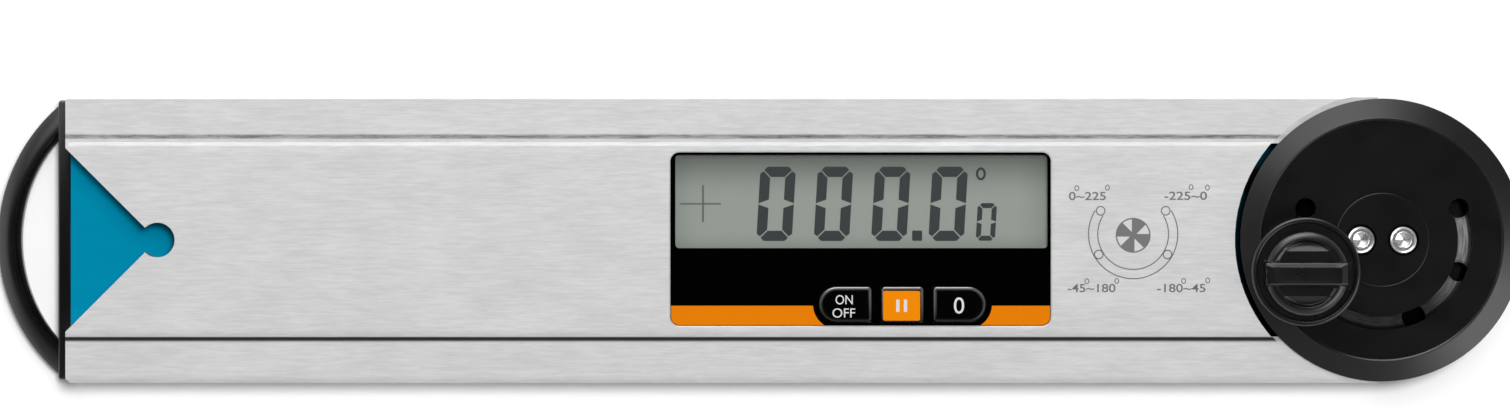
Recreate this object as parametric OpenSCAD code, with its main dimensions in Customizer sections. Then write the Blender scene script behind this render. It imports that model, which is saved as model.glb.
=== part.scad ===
// Digital angle finder: two stacked arms that turn on one hinge.
// The hinge axis is Z, the underside of the base arm is z = 0, and both arms point along -X at rest.

/* [Arms] */
// Width of both arms
arm_w = 60; // [54:0.5:72]
// Distance from the hinge axis to the notched end of the display arm
arm_reach = 276.5; // [250:0.5:340]
// Distance from the hinge axis to the hinge ends of both extrusions
arm_end = 0.8; // [0.4:0.1:2]
// Thickness of the base arm
base_t = 12; // [10:0.5:16]
// Thickness of the display arm
show_t = 15; // [15:0.5:20]
// Running gap between the two arms
arm_gap = 0.4; // [0.2:0.1:0.8]
// Thickness of the upper and lower walls of the extrusions
skin_t = 2; // [1.6:0.1:2.4]
// Thickness of the outer edge walls
edge_t = 1.6; // [1.2:0.1:2.2]
// Thickness of the ribs between the chambers
rib_t = 1.6; // [1.2:0.1:2]
// Bevel along the outer edges of the extrusions
edge_bevel = 0.4; // [0.2:0.1:0.8]
// Width of the side chambers
side_room = 6.5; // [5.6:0.1:6.6]
// Chamfer of the corners at the free end of the display arm
corner_cut = 0.9; // [0.5:0.1:1.4]
// Thickness of the wall under the coloured inlay
inlay_wall = 1.6; // [1.2:0.1:2]

/* [Face grooves] */
// Width of the strips outside the grooves
border_w = 8.1; // [7:0.1:8.4]
// Width of each groove
groove_w = 1.3; // [0.8:0.1:1.8]
// Depth of each groove
groove_d = 0.8; // [0.4:0.1:1.1]
// Width of the eased edge of the panel
ease_w = 0.8; // [0.4:0.1:1.2]
// Drop of the eased edge of the panel
ease_d = 0.25; // [0.1:0.05:0.35]
// Distance from the arm's end to the groove's closed end
groove_stop = 0.6; // [0.3:0.1:3]

/* [V notch] */
// Depth of the notch from the arm's end to its corner
notch_depth = 19.3; // [14:0.1:19.5]
// Opening angle of the notch
notch_angle = 90; // [80:1:90]
// Diameter of the relief hole at the corner
relief_d = 7.3; // [5:0.1:9]
// Length of the block that fills the chamber behind the notch
notch_block_len = 31; // [29:0.5:40]
// Distance from that block's inner end to its screws
notch_screw_inset = 5; // [4:0.5:8]
// Distance from the sides of the middle chamber to those screws
notch_screw_side = 8.2; // [5:0.1:10]
// Length of the plugs in the side chambers
plug_len = 9; // [6:0.5:14]

/* [Hinge] */
// How far the disc's edge lies inside the arms' edges
disc_inset = 0.3; // [0.2:0.1:1]
// How far the hubs lie inside the disc's edge
hub_inset = 0.2; // [0.1:0.05:0.5]
// Width of the disc's sloping rim
rim_w = 4.2; // [3:0.1:5]
// Height of the disc's rim at its outer edge
rim_low = 1; // [0.6:0.1:1.4]
// Height of the disc's rim at its inner edge
rim_high = 2.8; // [2.4:0.1:4]
// Step from the rim down to the disc's face
rim_step = 0.4; // [0.2:0.1:0.8]
// Depth of the pocket that the disc turns in
pocket_d = 1.2; // [0.8:0.1:1.6]
// Gap between the disc's edge and the pocket's wall
pocket_gap = 0.96; // [0.5:0.02:1.5]
// Gap between the disc's edge and the end of the middle panel
panel_gap = 1.2; // [0.6:0.05:2]
// Height of the disc above the floor of its pocket
disc_lift = 0.3; // [0.2:0.05:0.5]
// Diameter of the axle
axle_d = 17; // [16:0.1:18]
// Diameter of the axle's flange
flange_d = 31; // [29:0.5:33]
// Thickness of the axle's flange
flange_t = 3; // [2.5:0.1:4]
// Depth of the disc's boss inside the display arm's hub
boss_d = 2; // [1.5:0.1:3]
// Diameter of the cap in the middle of the disc
cap_d = 19.6; // [18.6:0.1:22]
// Thickness of that cap
cap_t = 1.2; // [0.8:0.1:1.6]
// Height of the cap above the disc's face
cap_proud = 0.15; // [0:0.05:0.3]
// Distance between the two socket screws of the disc
disc_screw_gap = 8.9; // [8:0.1:9.6]
// Length of the hubs' prongs inside the extrusions
prong_len = 34; // [26:1:50]

/* [Stop slot] */
// Radius of the slot's middle line about the hinge axis
slot_r = 17.4; // [16.6:0.1:18.6]
// Width of the slot
slot_w = 3; // [2.9:0.1:3.6]
// Diameter of the holes at the slot's ends
slot_end_d = 4.3; // [4.2:0.1:5.2]
// Angle that the slot spans
slot_span = 225; // [200:1:240]
// Angle between two neighbouring knob positions
position_angle = 45; // [30:1:50]
// Diameter of the thread holes' countersinks
thread_mouth_d = 5; // [4.6:0.1:5.6]
// Depth of the thread holes
thread_hole_d = 9.4; // [8:0.1:10.2]

/* [Lock knob] */
// Diameter of the knob
knob_d = 22.9; // [20:0.1:24]
// Height of the knob
knob_h = 8; // [6.5:0.1:11]
// Diameter of the raised centre of the knob
crown_d = 17.6; // [15:0.1:18]
// Height of the knob's outer rim
skirt_h = 4.6; // [4:0.1:5.4]
// Width of the knob's grip bar
grip_w = 5.2; // [4.2:0.1:6]
// Depth of the hollows beside the grip bar
scoop_d = 2.2; // [1.4:0.1:2.6]
// Diameter of the knob's thread
stud_d = 4; // [3.6:0.1:4.1]
// Diameter of the neck that runs in the slot
neck_d = 2.7; // [2.2:0.1:2.8]
// Gap between the knob and the disc's rim
knob_lift = 0.3; // [0.2:0.05:0.6]

/* [Encoder] */
// Outer diameter of the encoder's rings
ring_d = 32.6; // [30:0.2:33]
// Inner diameter of the encoder's rings
ring_bore = 21; // [20:0.1:22]
// Thickness of the turning ring
rotor_t = 1.2; // [0.8:0.1:1.6]
// Thickness of the reading ring
stator_t = 1.3; // [0.8:0.1:1.6]
// Gap between the two rings
ring_gap = 0.4; // [0.2:0.05:0.6]
// Distance from the sensor cable to the side of the middle chamber
cable_margin = 5.3; // [5:0.1:7]
// Width of the sensor cable
cable_w = 5; // [3:0.1:5.2]
// Thickness of the sensor cable
cable_t = 0.3; // [0.2:0.05:0.5]

/* [End cap] */
// Thickness of the cap's bar along the arm
bar_t = 2.6; // [2:0.1:4]
// Reach of the loop beyond the bar
loop_reach = 12.9; // [12.4:0.1:16]
// Reach of the loop's opening beyond the bar
opening_reach = 7.8; // [6:0.1:8.2]
// Width of the loop's legs where they meet the bar
loop_leg = 8.2; // [6:0.1:11]
// How far the cap lies inside the arms' edges
cap_inset = 0.6; // [0.3:0.1:1]
// Thickness of the loop
loop_t = 9; // [7:0.5:9.5]
// Width of the groove round the loop
loop_groove_w = 0.7; // [0.6:0.1:0.9]
// Depth of the groove round the loop
loop_groove_d = 0.8; // [0.4:0.1:1.2]
// Width of the loop's outer band, from its edge to the groove
loop_band = 3; // [1.6:0.1:3.1]
// How far the display arm overhangs the cap
overhang = 0.6; // [0.2:0.1:1]
// Length of the cap's tongues inside the base arm
tongue_len = 16; // [12:1:24]
// Thickness of the coloured inlay in the base arm
inlay_t = 1.2; // [0.8:0.1:1.4]

/* [Display window] */
// Distance from the hinge axis to the middle of the window
window_x = 109.5; // [104:0.5:120]
// Distance from the arm's middle line to the middle of the window
window_y = 0.2; // [0:0.1:0.4]
// Length of the window
window_w = 79.9; // [76:0.1:81]
// Distance from the window's edges to the sides of the middle chamber
window_lip = 2.1; // [1.9:0.1:2.4]
// Corner radius of the window
window_r = 1.9; // [1:0.1:3]
// How far the front plate lies below the arm's face
face_drop = 0.2; // [0.1:0.05:0.4]
// Height of the band below the screen window
lower_band = 16.4; // [16:0.1:18]
// Border above the screen window
screen_border = 0.6; // [0.4:0.1:1]
// Border at the hinge side of the screen window
screen_side = 0.75; // [0.6:0.05:0.95]
// Border at the far side of the screen window
screen_far = 1.15; // [0.8:0.05:3]
// Bevel round the window
window_bevel = 0.3; // [0.1:0.05:0.5]
// Height of the coloured band along the lower edge
band_h = 4.2; // [3:0.1:6]
// Thickness of the coloured band
band_t = 0.4; // [0.3:0.05:0.6]

/* [Buttons] */
// Length of the raised surround
surround_w = 37.4; // [37:0.1:39]
// Height of the raised surround
surround_h = 10.2; // [9.8:0.1:10.6]
// Height of the surround above the front plate
surround_proud = 0.25; // [0.1:0.05:0.4]
// Depth of the surround's seat in the front plate
surround_seat = 0.6; // [0.4:0.1:0.8]
// Distance from the middle of the window to the middle button, towards the hinge
hold_shift = 8.8; // [0:0.1:16]
// Length of the two outer buttons
side_button_w = 11; // [10:0.1:11.2]
// Length of the middle button
mid_button_w = 8.8; // [8:0.1:9.2]
// Height of the buttons across the arm
button_h = 7.4; // [6.8:0.1:7.5]
// Distance from the window's lower edge to the middle of the buttons
button_rise = 4.5; // [4.4:0.1:4.8]
// Gap between two neighbouring buttons
button_gap = 2.1; // [1.9:0.1:2.3]
// How far the buttons stand above the front plate
button_proud = 0.7; // [0.6:0.05:1]
// Travel of the buttons
button_travel = 0.6; // [0.3:0.05:0.6]

/* [Electronics] */
// Thickness of the circuit board
board_t = 1.6; // [1:0.1:2]
// Thickness of the screen glass
glass_t = 2; // [1.4:0.1:2.2]
// Height of the rubber contact strips under the glass
strip_h = 2; // [1.6:0.1:2.4]
// Length of the board beyond the far end of the window
board_tail = 42; // [38:0.5:50]
// Diameter of the coin cell
cell_d = 20; // [16:0.5:20]
// Thickness of the coin cell
cell_t = 3.2; // [1.6:0.1:3.2]
// Distance from the cell to the ends of the battery cover
cover_end = 4.5; // [4:0.5:6]
// Distance from the cell to the long sides of the battery cover
cover_side = 2.5; // [2:0.5:4]

/* [Fits] */
// Running clearance on radius at the hinge
hinge_fit = 0.05; // [0.02:0.01:0.1]
// Clearance round the pieces that slide into the extrusions
slide_fit = 0.1; // [0.05:0.05:0.2]
// Clearance round the buttons and the front plate
face_fit = 0.15; // [0.1:0.05:0.2]

/* [Hidden] */
$fn = 96;

// Overrun of every cutter past the face it cuts
cut = 0.2;

// Heights
show_z0 = base_t + arm_gap;
show_z1 = show_z0 + show_t;
chamber_z0 = show_z0 + skin_t;
chamber_z1 = show_z1 - skin_t;
pocket_z = show_z1 - pocket_d;
disc_z0 = pocket_z + disc_lift;
disc_face = disc_z0 + rim_high - rim_step;
axle_top = disc_z0 - boss_d;
knob_z0 = disc_z0 + rim_high + knob_lift;
inlay_z = base_t - inlay_t;
base_roof = inlay_z - inlay_wall;

// Plan sizes
half_w = arm_w / 2;
chamber_w = arm_w - 2 * (edge_t + side_room + rib_t);
panel_w = arm_w - 2 * (border_w + groove_w);
side_in = chamber_w / 2 + rib_t;
side_out = half_w - edge_t;
base_reach = arm_reach - overhang;
disc_r = half_w - disc_inset;
face_r = disc_r - rim_w;
hub_r = disc_r - hub_inset;
inlay_w = panel_w;
notch_x = arm_reach - notch_depth;
slot_first = (slot_span - 180) / 2;
slot_last = 180 - slot_first;
knob_angle = slot_last + position_angle;
knob_x = slot_r * cos(knob_angle);
knob_y = slot_r * sin(knob_angle);
position_angles = [slot_first, slot_first - position_angle, slot_last, knob_angle];
spare_angle = slot_first - 2 * position_angle;

// Small screws: body diameter, head diameter, head height, slot width and depth
small_d = 2;
small_head_d = 3.8;
small_head_h = 1.2;
drive_w = 0.5;
drive_d = 0.6;
// Material left over the ends of the hidden screws
screw_skin = 1;
axle_screw_skin = 2.5;
// Socket screws of the disc
socket_d = 3;
socket_head_d = 5.6;
socket_head_h = 3;
socket_hex = 2.9;
socket_depth = 1.6;
socket_room = 0.5;
socket_len = 8;
socket_sink = 0.35;
socket_tip_gap = 0.5;
socket_seat = disc_face - socket_sink - socket_head_h;
// Countersunk screws: body diameter, head diameter and head height
sunk_d = 2.5;
sunk_head_d = 4.8;
sunk_head_h = 1.5;
end_cap_screw_len = base_roof - screw_skin;
axle_screw_len = base_t - axle_screw_skin;
notch_screw_len = 9;
cover_screw_len = 5.5;
// Places of the prong screws and of the end cap's screws, as shares of the prongs' and tongues' lengths
prong_screw_shares = [0.3, 0.8];
tongue_screw_share = 0.6;
axle_screw_angles = [30, 150, 270];

// Display window
window_h = chamber_w - 2 * window_lip;
screen_w = window_w - screen_side - screen_far;
screen_h = window_h - screen_border - lower_band;
win_top = window_y + window_h / 2;
win_low = window_y - window_h / 2;
plate_z1 = show_z1 - face_drop;
plate_flange_t = 0.8;
plate_flange_z = chamber_z1 - plate_flange_t;
plate_margin = 1.2;
glass_z = plate_flange_z - glass_t;
board_z1 = glass_z - strip_h;
board_z0 = board_z1 - board_t;
screen_x = -window_x + window_w / 2 - screen_side - screen_w / 2;
screen_y = win_top - screen_border - screen_h / 2;
screen_r = 0.8;
screen_drop = 0.2;
glass_edge = 2;
strip_w = 1.6;
strip_end = 4;

// Buttons
button_y = win_low + button_rise;
hold_x = -window_x + hold_shift;
side_shift = mid_button_w / 2 + button_gap + side_button_w / 2;
button_flange_t = 0.9;
button_flange = 0.6;
button_flange_z = plate_flange_z - slide_fit - button_flange_t;
stem_d = 2.4;
switch_w = 4.6;
switch_gap = 0.2;
switch_h = button_flange_z - board_z1 - button_travel - switch_gap;
switch_wall = 0.4;
stem_z = board_z1 + switch_wall + button_travel + face_fit;

// Board, tray and battery
board_x0 = -window_x - window_w / 2 - board_tail;
board_lead = 4;
board_margin = 1.3;
board_grip = 3;
board_x1 = -window_x + window_w / 2 + board_lead;
board_w = chamber_w - 2 * board_margin;
tray_margin = 2;
tray_x0 = board_x0 - tray_margin;
tray_x1 = board_x1 + tray_margin;
tray_w = chamber_w - 2 * slide_fit;
tray_floor = 0.8;
tray_end = 1.2;
tray_side = 2;
cell_shift = 5;
cell_lift = 0.3;
cell_x = -window_x - window_w / 2 - board_tail / 2 - cell_shift;
cell_z = chamber_z0 + cell_lift;
cell_room = 0.6;
cover_w = cell_d + 2 * cover_end;
cover_h = cell_d + 2 * cover_side;
cover_screw_inset = 3;
cover_screw_x = cover_w / 2 - cover_screw_inset;
cover_screw_y = cover_h / 2 - cover_screw_inset;
post_d = 4.6;
post_edge = 4.8;
post_y = board_w / 2 - post_edge;
post_inset = 5;
chip_w = 8;
chip_t = 1.2;
chip_shift = 4;
chip_step = 16;
leaf_t = 0.3;
leaf_w = 4;
leaf_half = 3;
leaf_reach = 4;
hook_gap = 0.02;

// Hinge details
ring_seat = 0.2;
ring_play = 0.3;
ring_wall_r = ring_bore / 2 - ring_seat;
ring_room_r = ring_d / 2 + ring_play;
ring_room_z = show_z0 + rotor_t + ring_gap + stator_t - arm_gap;
washer_fit = 0.15;
washer_in = axle_d / 2 + washer_fit;
friction_out = 14;
axle_screw_r = (axle_d + flange_d) / 4;
hub_half = chamber_w / 2 - slide_fit;
cable_y = chamber_w / 2 - cable_margin - cable_w / 2;
cable_lift = 0.15;
cable_z = chamber_z0 + cable_lift;
cable_room = 0.3;
cable_rise = 12;
cable_bend = 4;
cable_tail = 2;

// Lock knob and its stud
knob_ease = 0.6;
knob_roll = 0.8;
crown_foot = 0.4;
crown_slope = 1;
scoop_edge = 1.2;
foot_d = 7.2;
foot_gap = 0.1;
knob_bore = 5;
stud_tip_gap = 0.6;
neck_clear = 0.2;

// Grip loop: both of its edges are arcs through two points of the bar and the tip
loop_half = half_w - cap_inset;
loop_z = (base_t - loop_t) / 2;
bar_x = -base_reach - bar_t;
outer_arc_r = arc_radius(loop_half, loop_reach + bar_t / 2);
inner_arc_r = arc_radius(loop_half - loop_leg, opening_reach);

// Radius of the arc over a chord of half length c that rises by s
function arc_radius(c, s) = (c * c + s * s) / (2 * s);

module along_x(x0, x1) {
    translate([x0, 0, 0])
        rotate([90, 0, 90])
            linear_extrude(x1 - x0)
                children();
}

module both_sides() {
    for (side = [0, 1])
        mirror([0, side, 0])
            children();
}

// A box between two corners
module block(low, high) {
    translate(low)
        cube(high - low);
}

module rounded_rect(w, h, r) {
    square([w - 2 * r, h], center = true);
    square([w, h - 2 * r], center = true);
    for (x = [-1, 1])
        for (y = [-1, 1])
            translate([x * (w / 2 - r), y * (h / 2 - r)])
                circle(r);
}

module stadium(w, h) {
    square([w - h, h], center = true);
    for (x = [-1, 1])
        translate([x * (w - h) / 2, 0])
            circle(d = h);
}

// Rectangle standing on y = 0 with bevelled corners
module bevelled_rect(w, h, b) {
    polygon([
        [-w / 2 + b, 0], [w / 2 - b, 0], [w / 2, b], [w / 2, h - b],
        [w / 2 - b, h], [-w / 2 + b, h], [-w / 2, h - b], [-w / 2, b]
    ]);
}

module ring(r_in, r_out, z0, z1) {
    translate([0, 0, z0])
        difference() {
            cylinder(r = r_out, h = z1 - z0);
            translate([0, 0, -cut])
                cylinder(r = r_in, h = z1 - z0 + 2 * cut);
        }
}

// Screw that points up, with its countersunk head's flat at z = 0
module sunk_screw(len) {
    difference() {
        union() {
            cylinder(d1 = sunk_head_d, d2 = sunk_d, h = sunk_head_h);
            cylinder(d = sunk_d, h = len);
        }
        cross_recess();
    }
}

module cross_recess() {
    for (turn = [0, 90])
        rotate([0, 0, turn])
            block([-sunk_d / 2, -drive_w / 2, -cut], [sunk_d / 2, drive_w / 2, drive_d]);
}

// Hole for that screw
module sunk_hole(len) {
    translate([0, 0, -cut])
        cylinder(d = sunk_head_d + 2 * slide_fit, h = cut);
    cylinder(d1 = sunk_head_d + 2 * slide_fit, d2 = sunk_d + 2 * slide_fit, h = sunk_head_h);
    cylinder(d = sunk_d + 2 * slide_fit, h = len + slide_fit);
}

// Small screw that points down, with the underside of its head at z = 0
module small_screw(len) {
    difference() {
        union() {
            cylinder(d = small_head_d, h = small_head_h);
            translate([0, 0, -len])
                cylinder(d = small_d, h = len);
        }
        translate([0, 0, small_head_h])
            mirror([0, 0, 1])
                cross_recess();
    }
}

// One groove of an arm's face; its far end is closed by a slant
module face_groove(reach, top) {
    g_in = panel_w / 2;
    g_out = g_in + groove_w;
    difference() {
        along_x(-reach + groove_stop, 0)
            polygon([
                [g_in - ease_w, top], [g_in, top - ease_d], [g_in + ease_d / 2, top - groove_d],
                [g_out, top - groove_d], [g_out, top + cut], [g_in - ease_w, top + cut]
            ]);
        translate([-reach + groove_stop, g_in, top - groove_d - cut])
            linear_extrude(groove_d + 3 * cut)
                polygon([
                    [-cut, 0], [0, 0], [groove_w, groove_w], [groove_w, 2 * groove_w], [-cut, 2 * groove_w]
                ]);
    }
}

// Everything of the middle strip that lies within r of the hinge axis
module hub_room(r, z0, z1) {
    intersection() {
        translate([0, 0, z0])
            cylinder(r = r, h = z1 - z0);
        block([-r, -chamber_w / 2, z0], [r, chamber_w / 2, z1]);
    }
}

// Round end of an arm with the prongs that plug into its side chambers
module hub_body(z0, z1, prong_z0, prong_z1) {
    difference() {
        union() {
            intersection() {
                translate([0, 0, z0])
                    cylinder(r = hub_r, h = z1 - z0);
                union() {
                    block([-hub_r, -hub_half, z0], [0, hub_half, z1]);
                    block([-arm_end, -half_w, z0], [half_w, half_w, z1]);
                }
            }
            both_sides()
                block(
                    [-arm_end - prong_len, side_in + slide_fit, prong_z0 + slide_fit],
                    [0, side_out - slide_fit, prong_z1 - slide_fit]
                );
        }
        prong_screw_places(z0)
            sunk_hole(prong_screw_len(z0, prong_z1));
    }
}

// The prong screws reach from the arm's underside to just short of the prong's top
function prong_screw_len(z0, prong_z1) = prong_z1 - z0 - screw_skin;

module prong_screw_places(z0) {
    both_sides()
        for (share = prong_screw_shares)
            translate([-arm_end - share * prong_len, (side_in + side_out) / 2, z0])
                children();
}

module disc_screw_places() {
    for (x = [-1, 1])
        translate([x * disc_screw_gap / 2, 0, 0])
            children();
}

module axle_screw_places() {
    for (turn = axle_screw_angles)
        rotate([0, 0, turn])
            translate([axle_screw_r, 0, 0])
                children();
}

module notch_cutter(z0, z1) {
    reach = notch_depth + cut;
    half = reach * tan(notch_angle / 2);
    translate([-notch_x, 0, z0 - cut]) {
        linear_extrude(z1 - z0 + 2 * cut)
            polygon([[0, 0], [-reach, half], [-reach, -half]]);
        cylinder(d = relief_d, h = z1 - z0 + 2 * cut);
    }
}

module notch_screw_places() {
    both_sides()
        translate([
            -arm_reach + notch_block_len - notch_screw_inset, chamber_w / 2 - notch_screw_side, show_z0
        ])
            children();
}

// ---- Base arm ----

module base_profile() {
    difference() {
        bevelled_rect(arm_w, base_t, edge_bevel);
        translate([-inlay_w / 2 - slide_fit, inlay_z])
            square([inlay_w + 2 * slide_fit, inlay_t + cut]);
        for (side = [0, 1])
            mirror([side, 0]) {
                translate([rib_t / 2, skin_t])
                    square([(chamber_w - rib_t) / 2, base_roof - skin_t]);
                translate([side_in, skin_t])
                    square([side_out - side_in, base_t - 2 * skin_t]);
            }
    }
}

module base_arm() {
    color("silver")
        difference() {
            along_x(-base_reach, -arm_end)
                base_profile();
            hub_room(hub_r + slide_fit, -cut, base_t + cut);
            both_sides()
                translate([0, 0, base_t])
                    mirror([0, 0, 1])
                        face_groove(base_reach, base_t);
            prong_screw_places(0)
                sunk_hole(skin_t + cut);
            end_cap_screw_places()
                sunk_hole(skin_t + cut);
        }
}

module blue_inlay() {
    color("deepskyblue")
        difference() {
            block([-base_reach, -inlay_w / 2, inlay_z], [-hub_r / 2, inlay_w / 2, base_t]);
            translate([0, 0, inlay_z - cut])
                cylinder(r = hub_r + slide_fit, h = inlay_t + 2 * cut);
        }
}

module end_cap_screw_places() {
    both_sides()
        translate([-base_reach + tongue_screw_share * tongue_len, chamber_w / 4, 0])
            children();
}

module loop_edge(r, tip_x, z0, z1) {
    translate([tip_x + r, 0, z0])
        cylinder(r = r, h = z1 - z0);
}

// Arc-edged bow with an arc-edged opening and a groove round it
module grip_loop() {
    tip_x = bar_x - loop_reach;
    open_x = bar_x - opening_reach;
    z1 = loop_z + loop_t;
    difference() {
        intersection() {
            loop_edge(outer_arc_r, tip_x, loop_z, z1);
            block([tip_x - cut, -loop_half, loop_z], [bar_x + bar_t / 2, loop_half, z1]);
        }
        intersection() {
            loop_edge(inner_arc_r, open_x, loop_z - cut, z1 + cut);
            block([tip_x, -half_w, loop_z - cut], [bar_x, half_w, z1 + cut]);
        }
        for (z = [loop_z - cut, z1 - loop_groove_d])
            intersection() {
                difference() {
                    loop_edge(outer_arc_r - loop_band, tip_x + loop_band, z, z + loop_groove_d + cut);
                    loop_edge(
                        outer_arc_r - loop_band - loop_groove_w, tip_x + loop_band + loop_groove_w,
                        z - cut, z + loop_groove_d + 2 * cut
                    );
                }
                block([tip_x, -half_w, z - cut], [bar_x, half_w, z + loop_groove_d + 2 * cut]);
            }
    }
}

module end_cap() {
    color("dimgray")
        difference() {
            union() {
                along_x(bar_x, bar_x + bar_t)
                    bevelled_rect(arm_w - 2 * cap_inset, base_t, edge_bevel);
                grip_loop();
                both_sides() {
                    block(
                        [-base_reach, rib_t / 2 + slide_fit, skin_t + slide_fit],
                        [-base_reach + tongue_len, chamber_w / 2 - slide_fit, base_roof - slide_fit]
                    );
                    block(
                        [-base_reach, side_in + slide_fit, skin_t + slide_fit],
                        [-base_reach + tongue_len, side_out - slide_fit, base_t - skin_t - slide_fit]
                    );
                }
            }
            end_cap_screw_places()
                sunk_hole(end_cap_screw_len);
        }
}

module end_cap_screws() {
    color("gray")
        end_cap_screw_places()
            sunk_screw(end_cap_screw_len);
}

module base_hub() {
    color("darkgray")
        difference() {
            hub_body(0, base_t, skin_t, base_t - skin_t);
            translate([0, 0, -cut])
                cylinder(d = axle_d + 2 * hinge_fit, h = base_t + 2 * cut);
            translate([0, 0, -cut])
                cylinder(d = flange_d + 2 * slide_fit, h = flange_t + cut);
            axle_screw_places()
                cylinder(d = sunk_d + 2 * slide_fit, h = axle_screw_len + slide_fit);
        }
}

module base_hub_screws() {
    color("gray")
        prong_screw_places(0)
            sunk_screw(prong_screw_len(0, base_t - skin_t));
}

module axle() {
    color("lightgray")
        difference() {
            union() {
                cylinder(d = flange_d, h = flange_t);
                cylinder(d = axle_d, h = axle_top);
            }
            axle_screw_places()
                sunk_hole(flange_t + cut);
            disc_screw_places()
                translate([0, 0, axle_top - socket_len])
                    cylinder(d = socket_d + 2 * hinge_fit, h = socket_len + cut);
        }
}

module axle_screws() {
    color("gray")
        axle_screw_places()
            sunk_screw(axle_screw_len);
}

module thrust_washer() {
    color("ivory")
        ring(washer_in, ring_wall_r, base_t, show_z0);
}

module encoder_rotor() {
    color("green")
        ring(ring_bore / 2, ring_d / 2, base_t, base_t + rotor_t);
}

// ---- Disc on top of the hinge ----

// The slot and its two round ends
module slot_cutter(z0, z1) {
    translate([0, 0, z0])
        rotate([0, 0, slot_last])
            rotate_extrude(angle = slot_span)
                translate([slot_r - slot_w / 2, 0])
                    square([slot_w, z1 - z0]);
    for (end = [slot_first, slot_last])
        rotate([0, 0, end])
            translate([slot_r, 0, z0])
                cylinder(d = slot_end_d, h = z1 - z0);
}

module hinge_disc() {
    color("#222222")
        difference() {
            union() {
                translate([0, 0, disc_z0])
                    rotate_extrude()
                        polygon([
                            [0, 0], [disc_r, 0], [disc_r, rim_low], [face_r, rim_high],
                            [face_r - rim_step, rim_high - rim_step], [0, rim_high - rim_step]
                        ]);
                translate([0, 0, axle_top])
                    cylinder(d = axle_d, h = boss_d + cut);
            }
            slot_cutter(disc_z0 - cut, disc_face + cut);
            translate([0, 0, disc_face - cap_t])
                cylinder(d = cap_d + 2 * slide_fit, h = cap_t + cut);
            disc_screw_places() {
                translate([0, 0, axle_top - cut])
                    cylinder(d = socket_d + 2 * slide_fit, h = boss_d + rim_high);
                translate([0, 0, socket_seat])
                    cylinder(d = socket_head_d + 2 * socket_room, h = rim_high + boss_d);
            }
        }
}

module pivot_cap() {
    color("#2a2a2a")
        difference() {
            translate([0, 0, disc_face - cap_t])
                cylinder(d = cap_d, h = cap_t + cap_proud);
            disc_screw_places()
                translate([0, 0, disc_face - cap_t - cut])
                    cylinder(d = socket_head_d + 2 * socket_room, h = cap_t + cap_proud + 2 * cut);
        }
}

module disc_screws() {
    color("lightsteelblue")
        disc_screw_places()
            difference() {
                union() {
                    translate([0, 0, socket_seat])
                        cylinder(d = socket_head_d, h = socket_head_h);
                    translate([0, 0, axle_top - socket_len + socket_tip_gap])
                        cylinder(d = socket_d, h = socket_seat - axle_top + socket_len);
                }
                translate([0, 0, socket_seat + socket_head_h - socket_depth])
                    cylinder(d = socket_hex, h = socket_depth + cut, $fn = 6);
            }
}

module friction_washer() {
    color("goldenrod")
        ring(washer_in, friction_out, pocket_z, disc_z0);
}

// ---- Display arm ----

module show_profile() {
    difference() {
        translate([0, show_z0])
            bevelled_rect(arm_w, show_t, edge_bevel);
        translate([-chamber_w / 2, chamber_z0])
            square([chamber_w, chamber_z1 - chamber_z0]);
        for (side = [0, 1])
            mirror([side, 0])
                translate([side_in, chamber_z0])
                    square([side_out - side_in, chamber_z1 - chamber_z0]);
    }
}

// Bevel round the window: a flared prism along each pair of sides and a cone at each corner
module window_edge() {
    flare = window_bevel + cut;
    translate([0, 0, show_z1 - window_bevel]) {
        for (side = [[0, window_w, window_h], [90, window_h, window_w]])
            rotate([0, 0, side[0]])
                along_x(-side[1] / 2 + window_r, side[1] / 2 - window_r)
                    polygon([
                        [-side[2] / 2, 0], [side[2] / 2, 0],
                        [side[2] / 2 + flare, flare], [-side[2] / 2 - flare, flare]
                    ]);
        for (x = [-1, 1])
            for (y = [-1, 1])
                translate([x * (window_w / 2 - window_r), y * (window_h / 2 - window_r), 0])
                    cylinder(r1 = window_r, r2 = window_r + flare, h = flare);
    }
}

module at_cell() {
    translate([cell_x, 0, 0])
        children();
}

// Cuts the plan corners of the display arm's free end
module corner_cutter() {
    both_sides()
        translate([-arm_reach, half_w, show_z0 - cut])
            linear_extrude(show_t + 2 * cut)
                polygon([[-cut, -corner_cut - cut], [corner_cut + cut, cut], [-cut, cut]]);
}

module display_arm() {
    color("gainsboro")
        difference() {
            along_x(-arm_reach, -arm_end)
                show_profile();
            corner_cutter();
            both_sides()
                face_groove(arm_reach, show_z1);
            translate([0, 0, pocket_z])
                cylinder(r = disc_r + pocket_gap, h = pocket_d + cut);
            hub_room(disc_r + panel_gap, show_z0 - cut, show_z1 + cut);
            at_window() {
                translate([0, 0, chamber_z1 - cut])
                    linear_extrude(skin_t + 2 * cut)
                        rounded_rect(window_w, window_h, window_r);
                window_edge();
            }
            at_cell()
                translate([0, 0, show_z0 - cut])
                    linear_extrude(skin_t + 2 * cut)
                        rounded_rect(cover_w + 2 * face_fit, cover_h + 2 * face_fit, window_r);
            notch_cutter(show_z0, show_z1);
            prong_screw_places(show_z0)
                sunk_hole(skin_t + cut);
            notch_screw_places()
                sunk_hole(skin_t + cut);
        }
}

module cable_path(room) {
    block(
        [-hub_r - cut, cable_y - cable_w / 2 - room, cable_z - room],
        [-axle_d / 2, cable_y + cable_w / 2 + room, cable_z + cable_t + room]
    );
}

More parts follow.
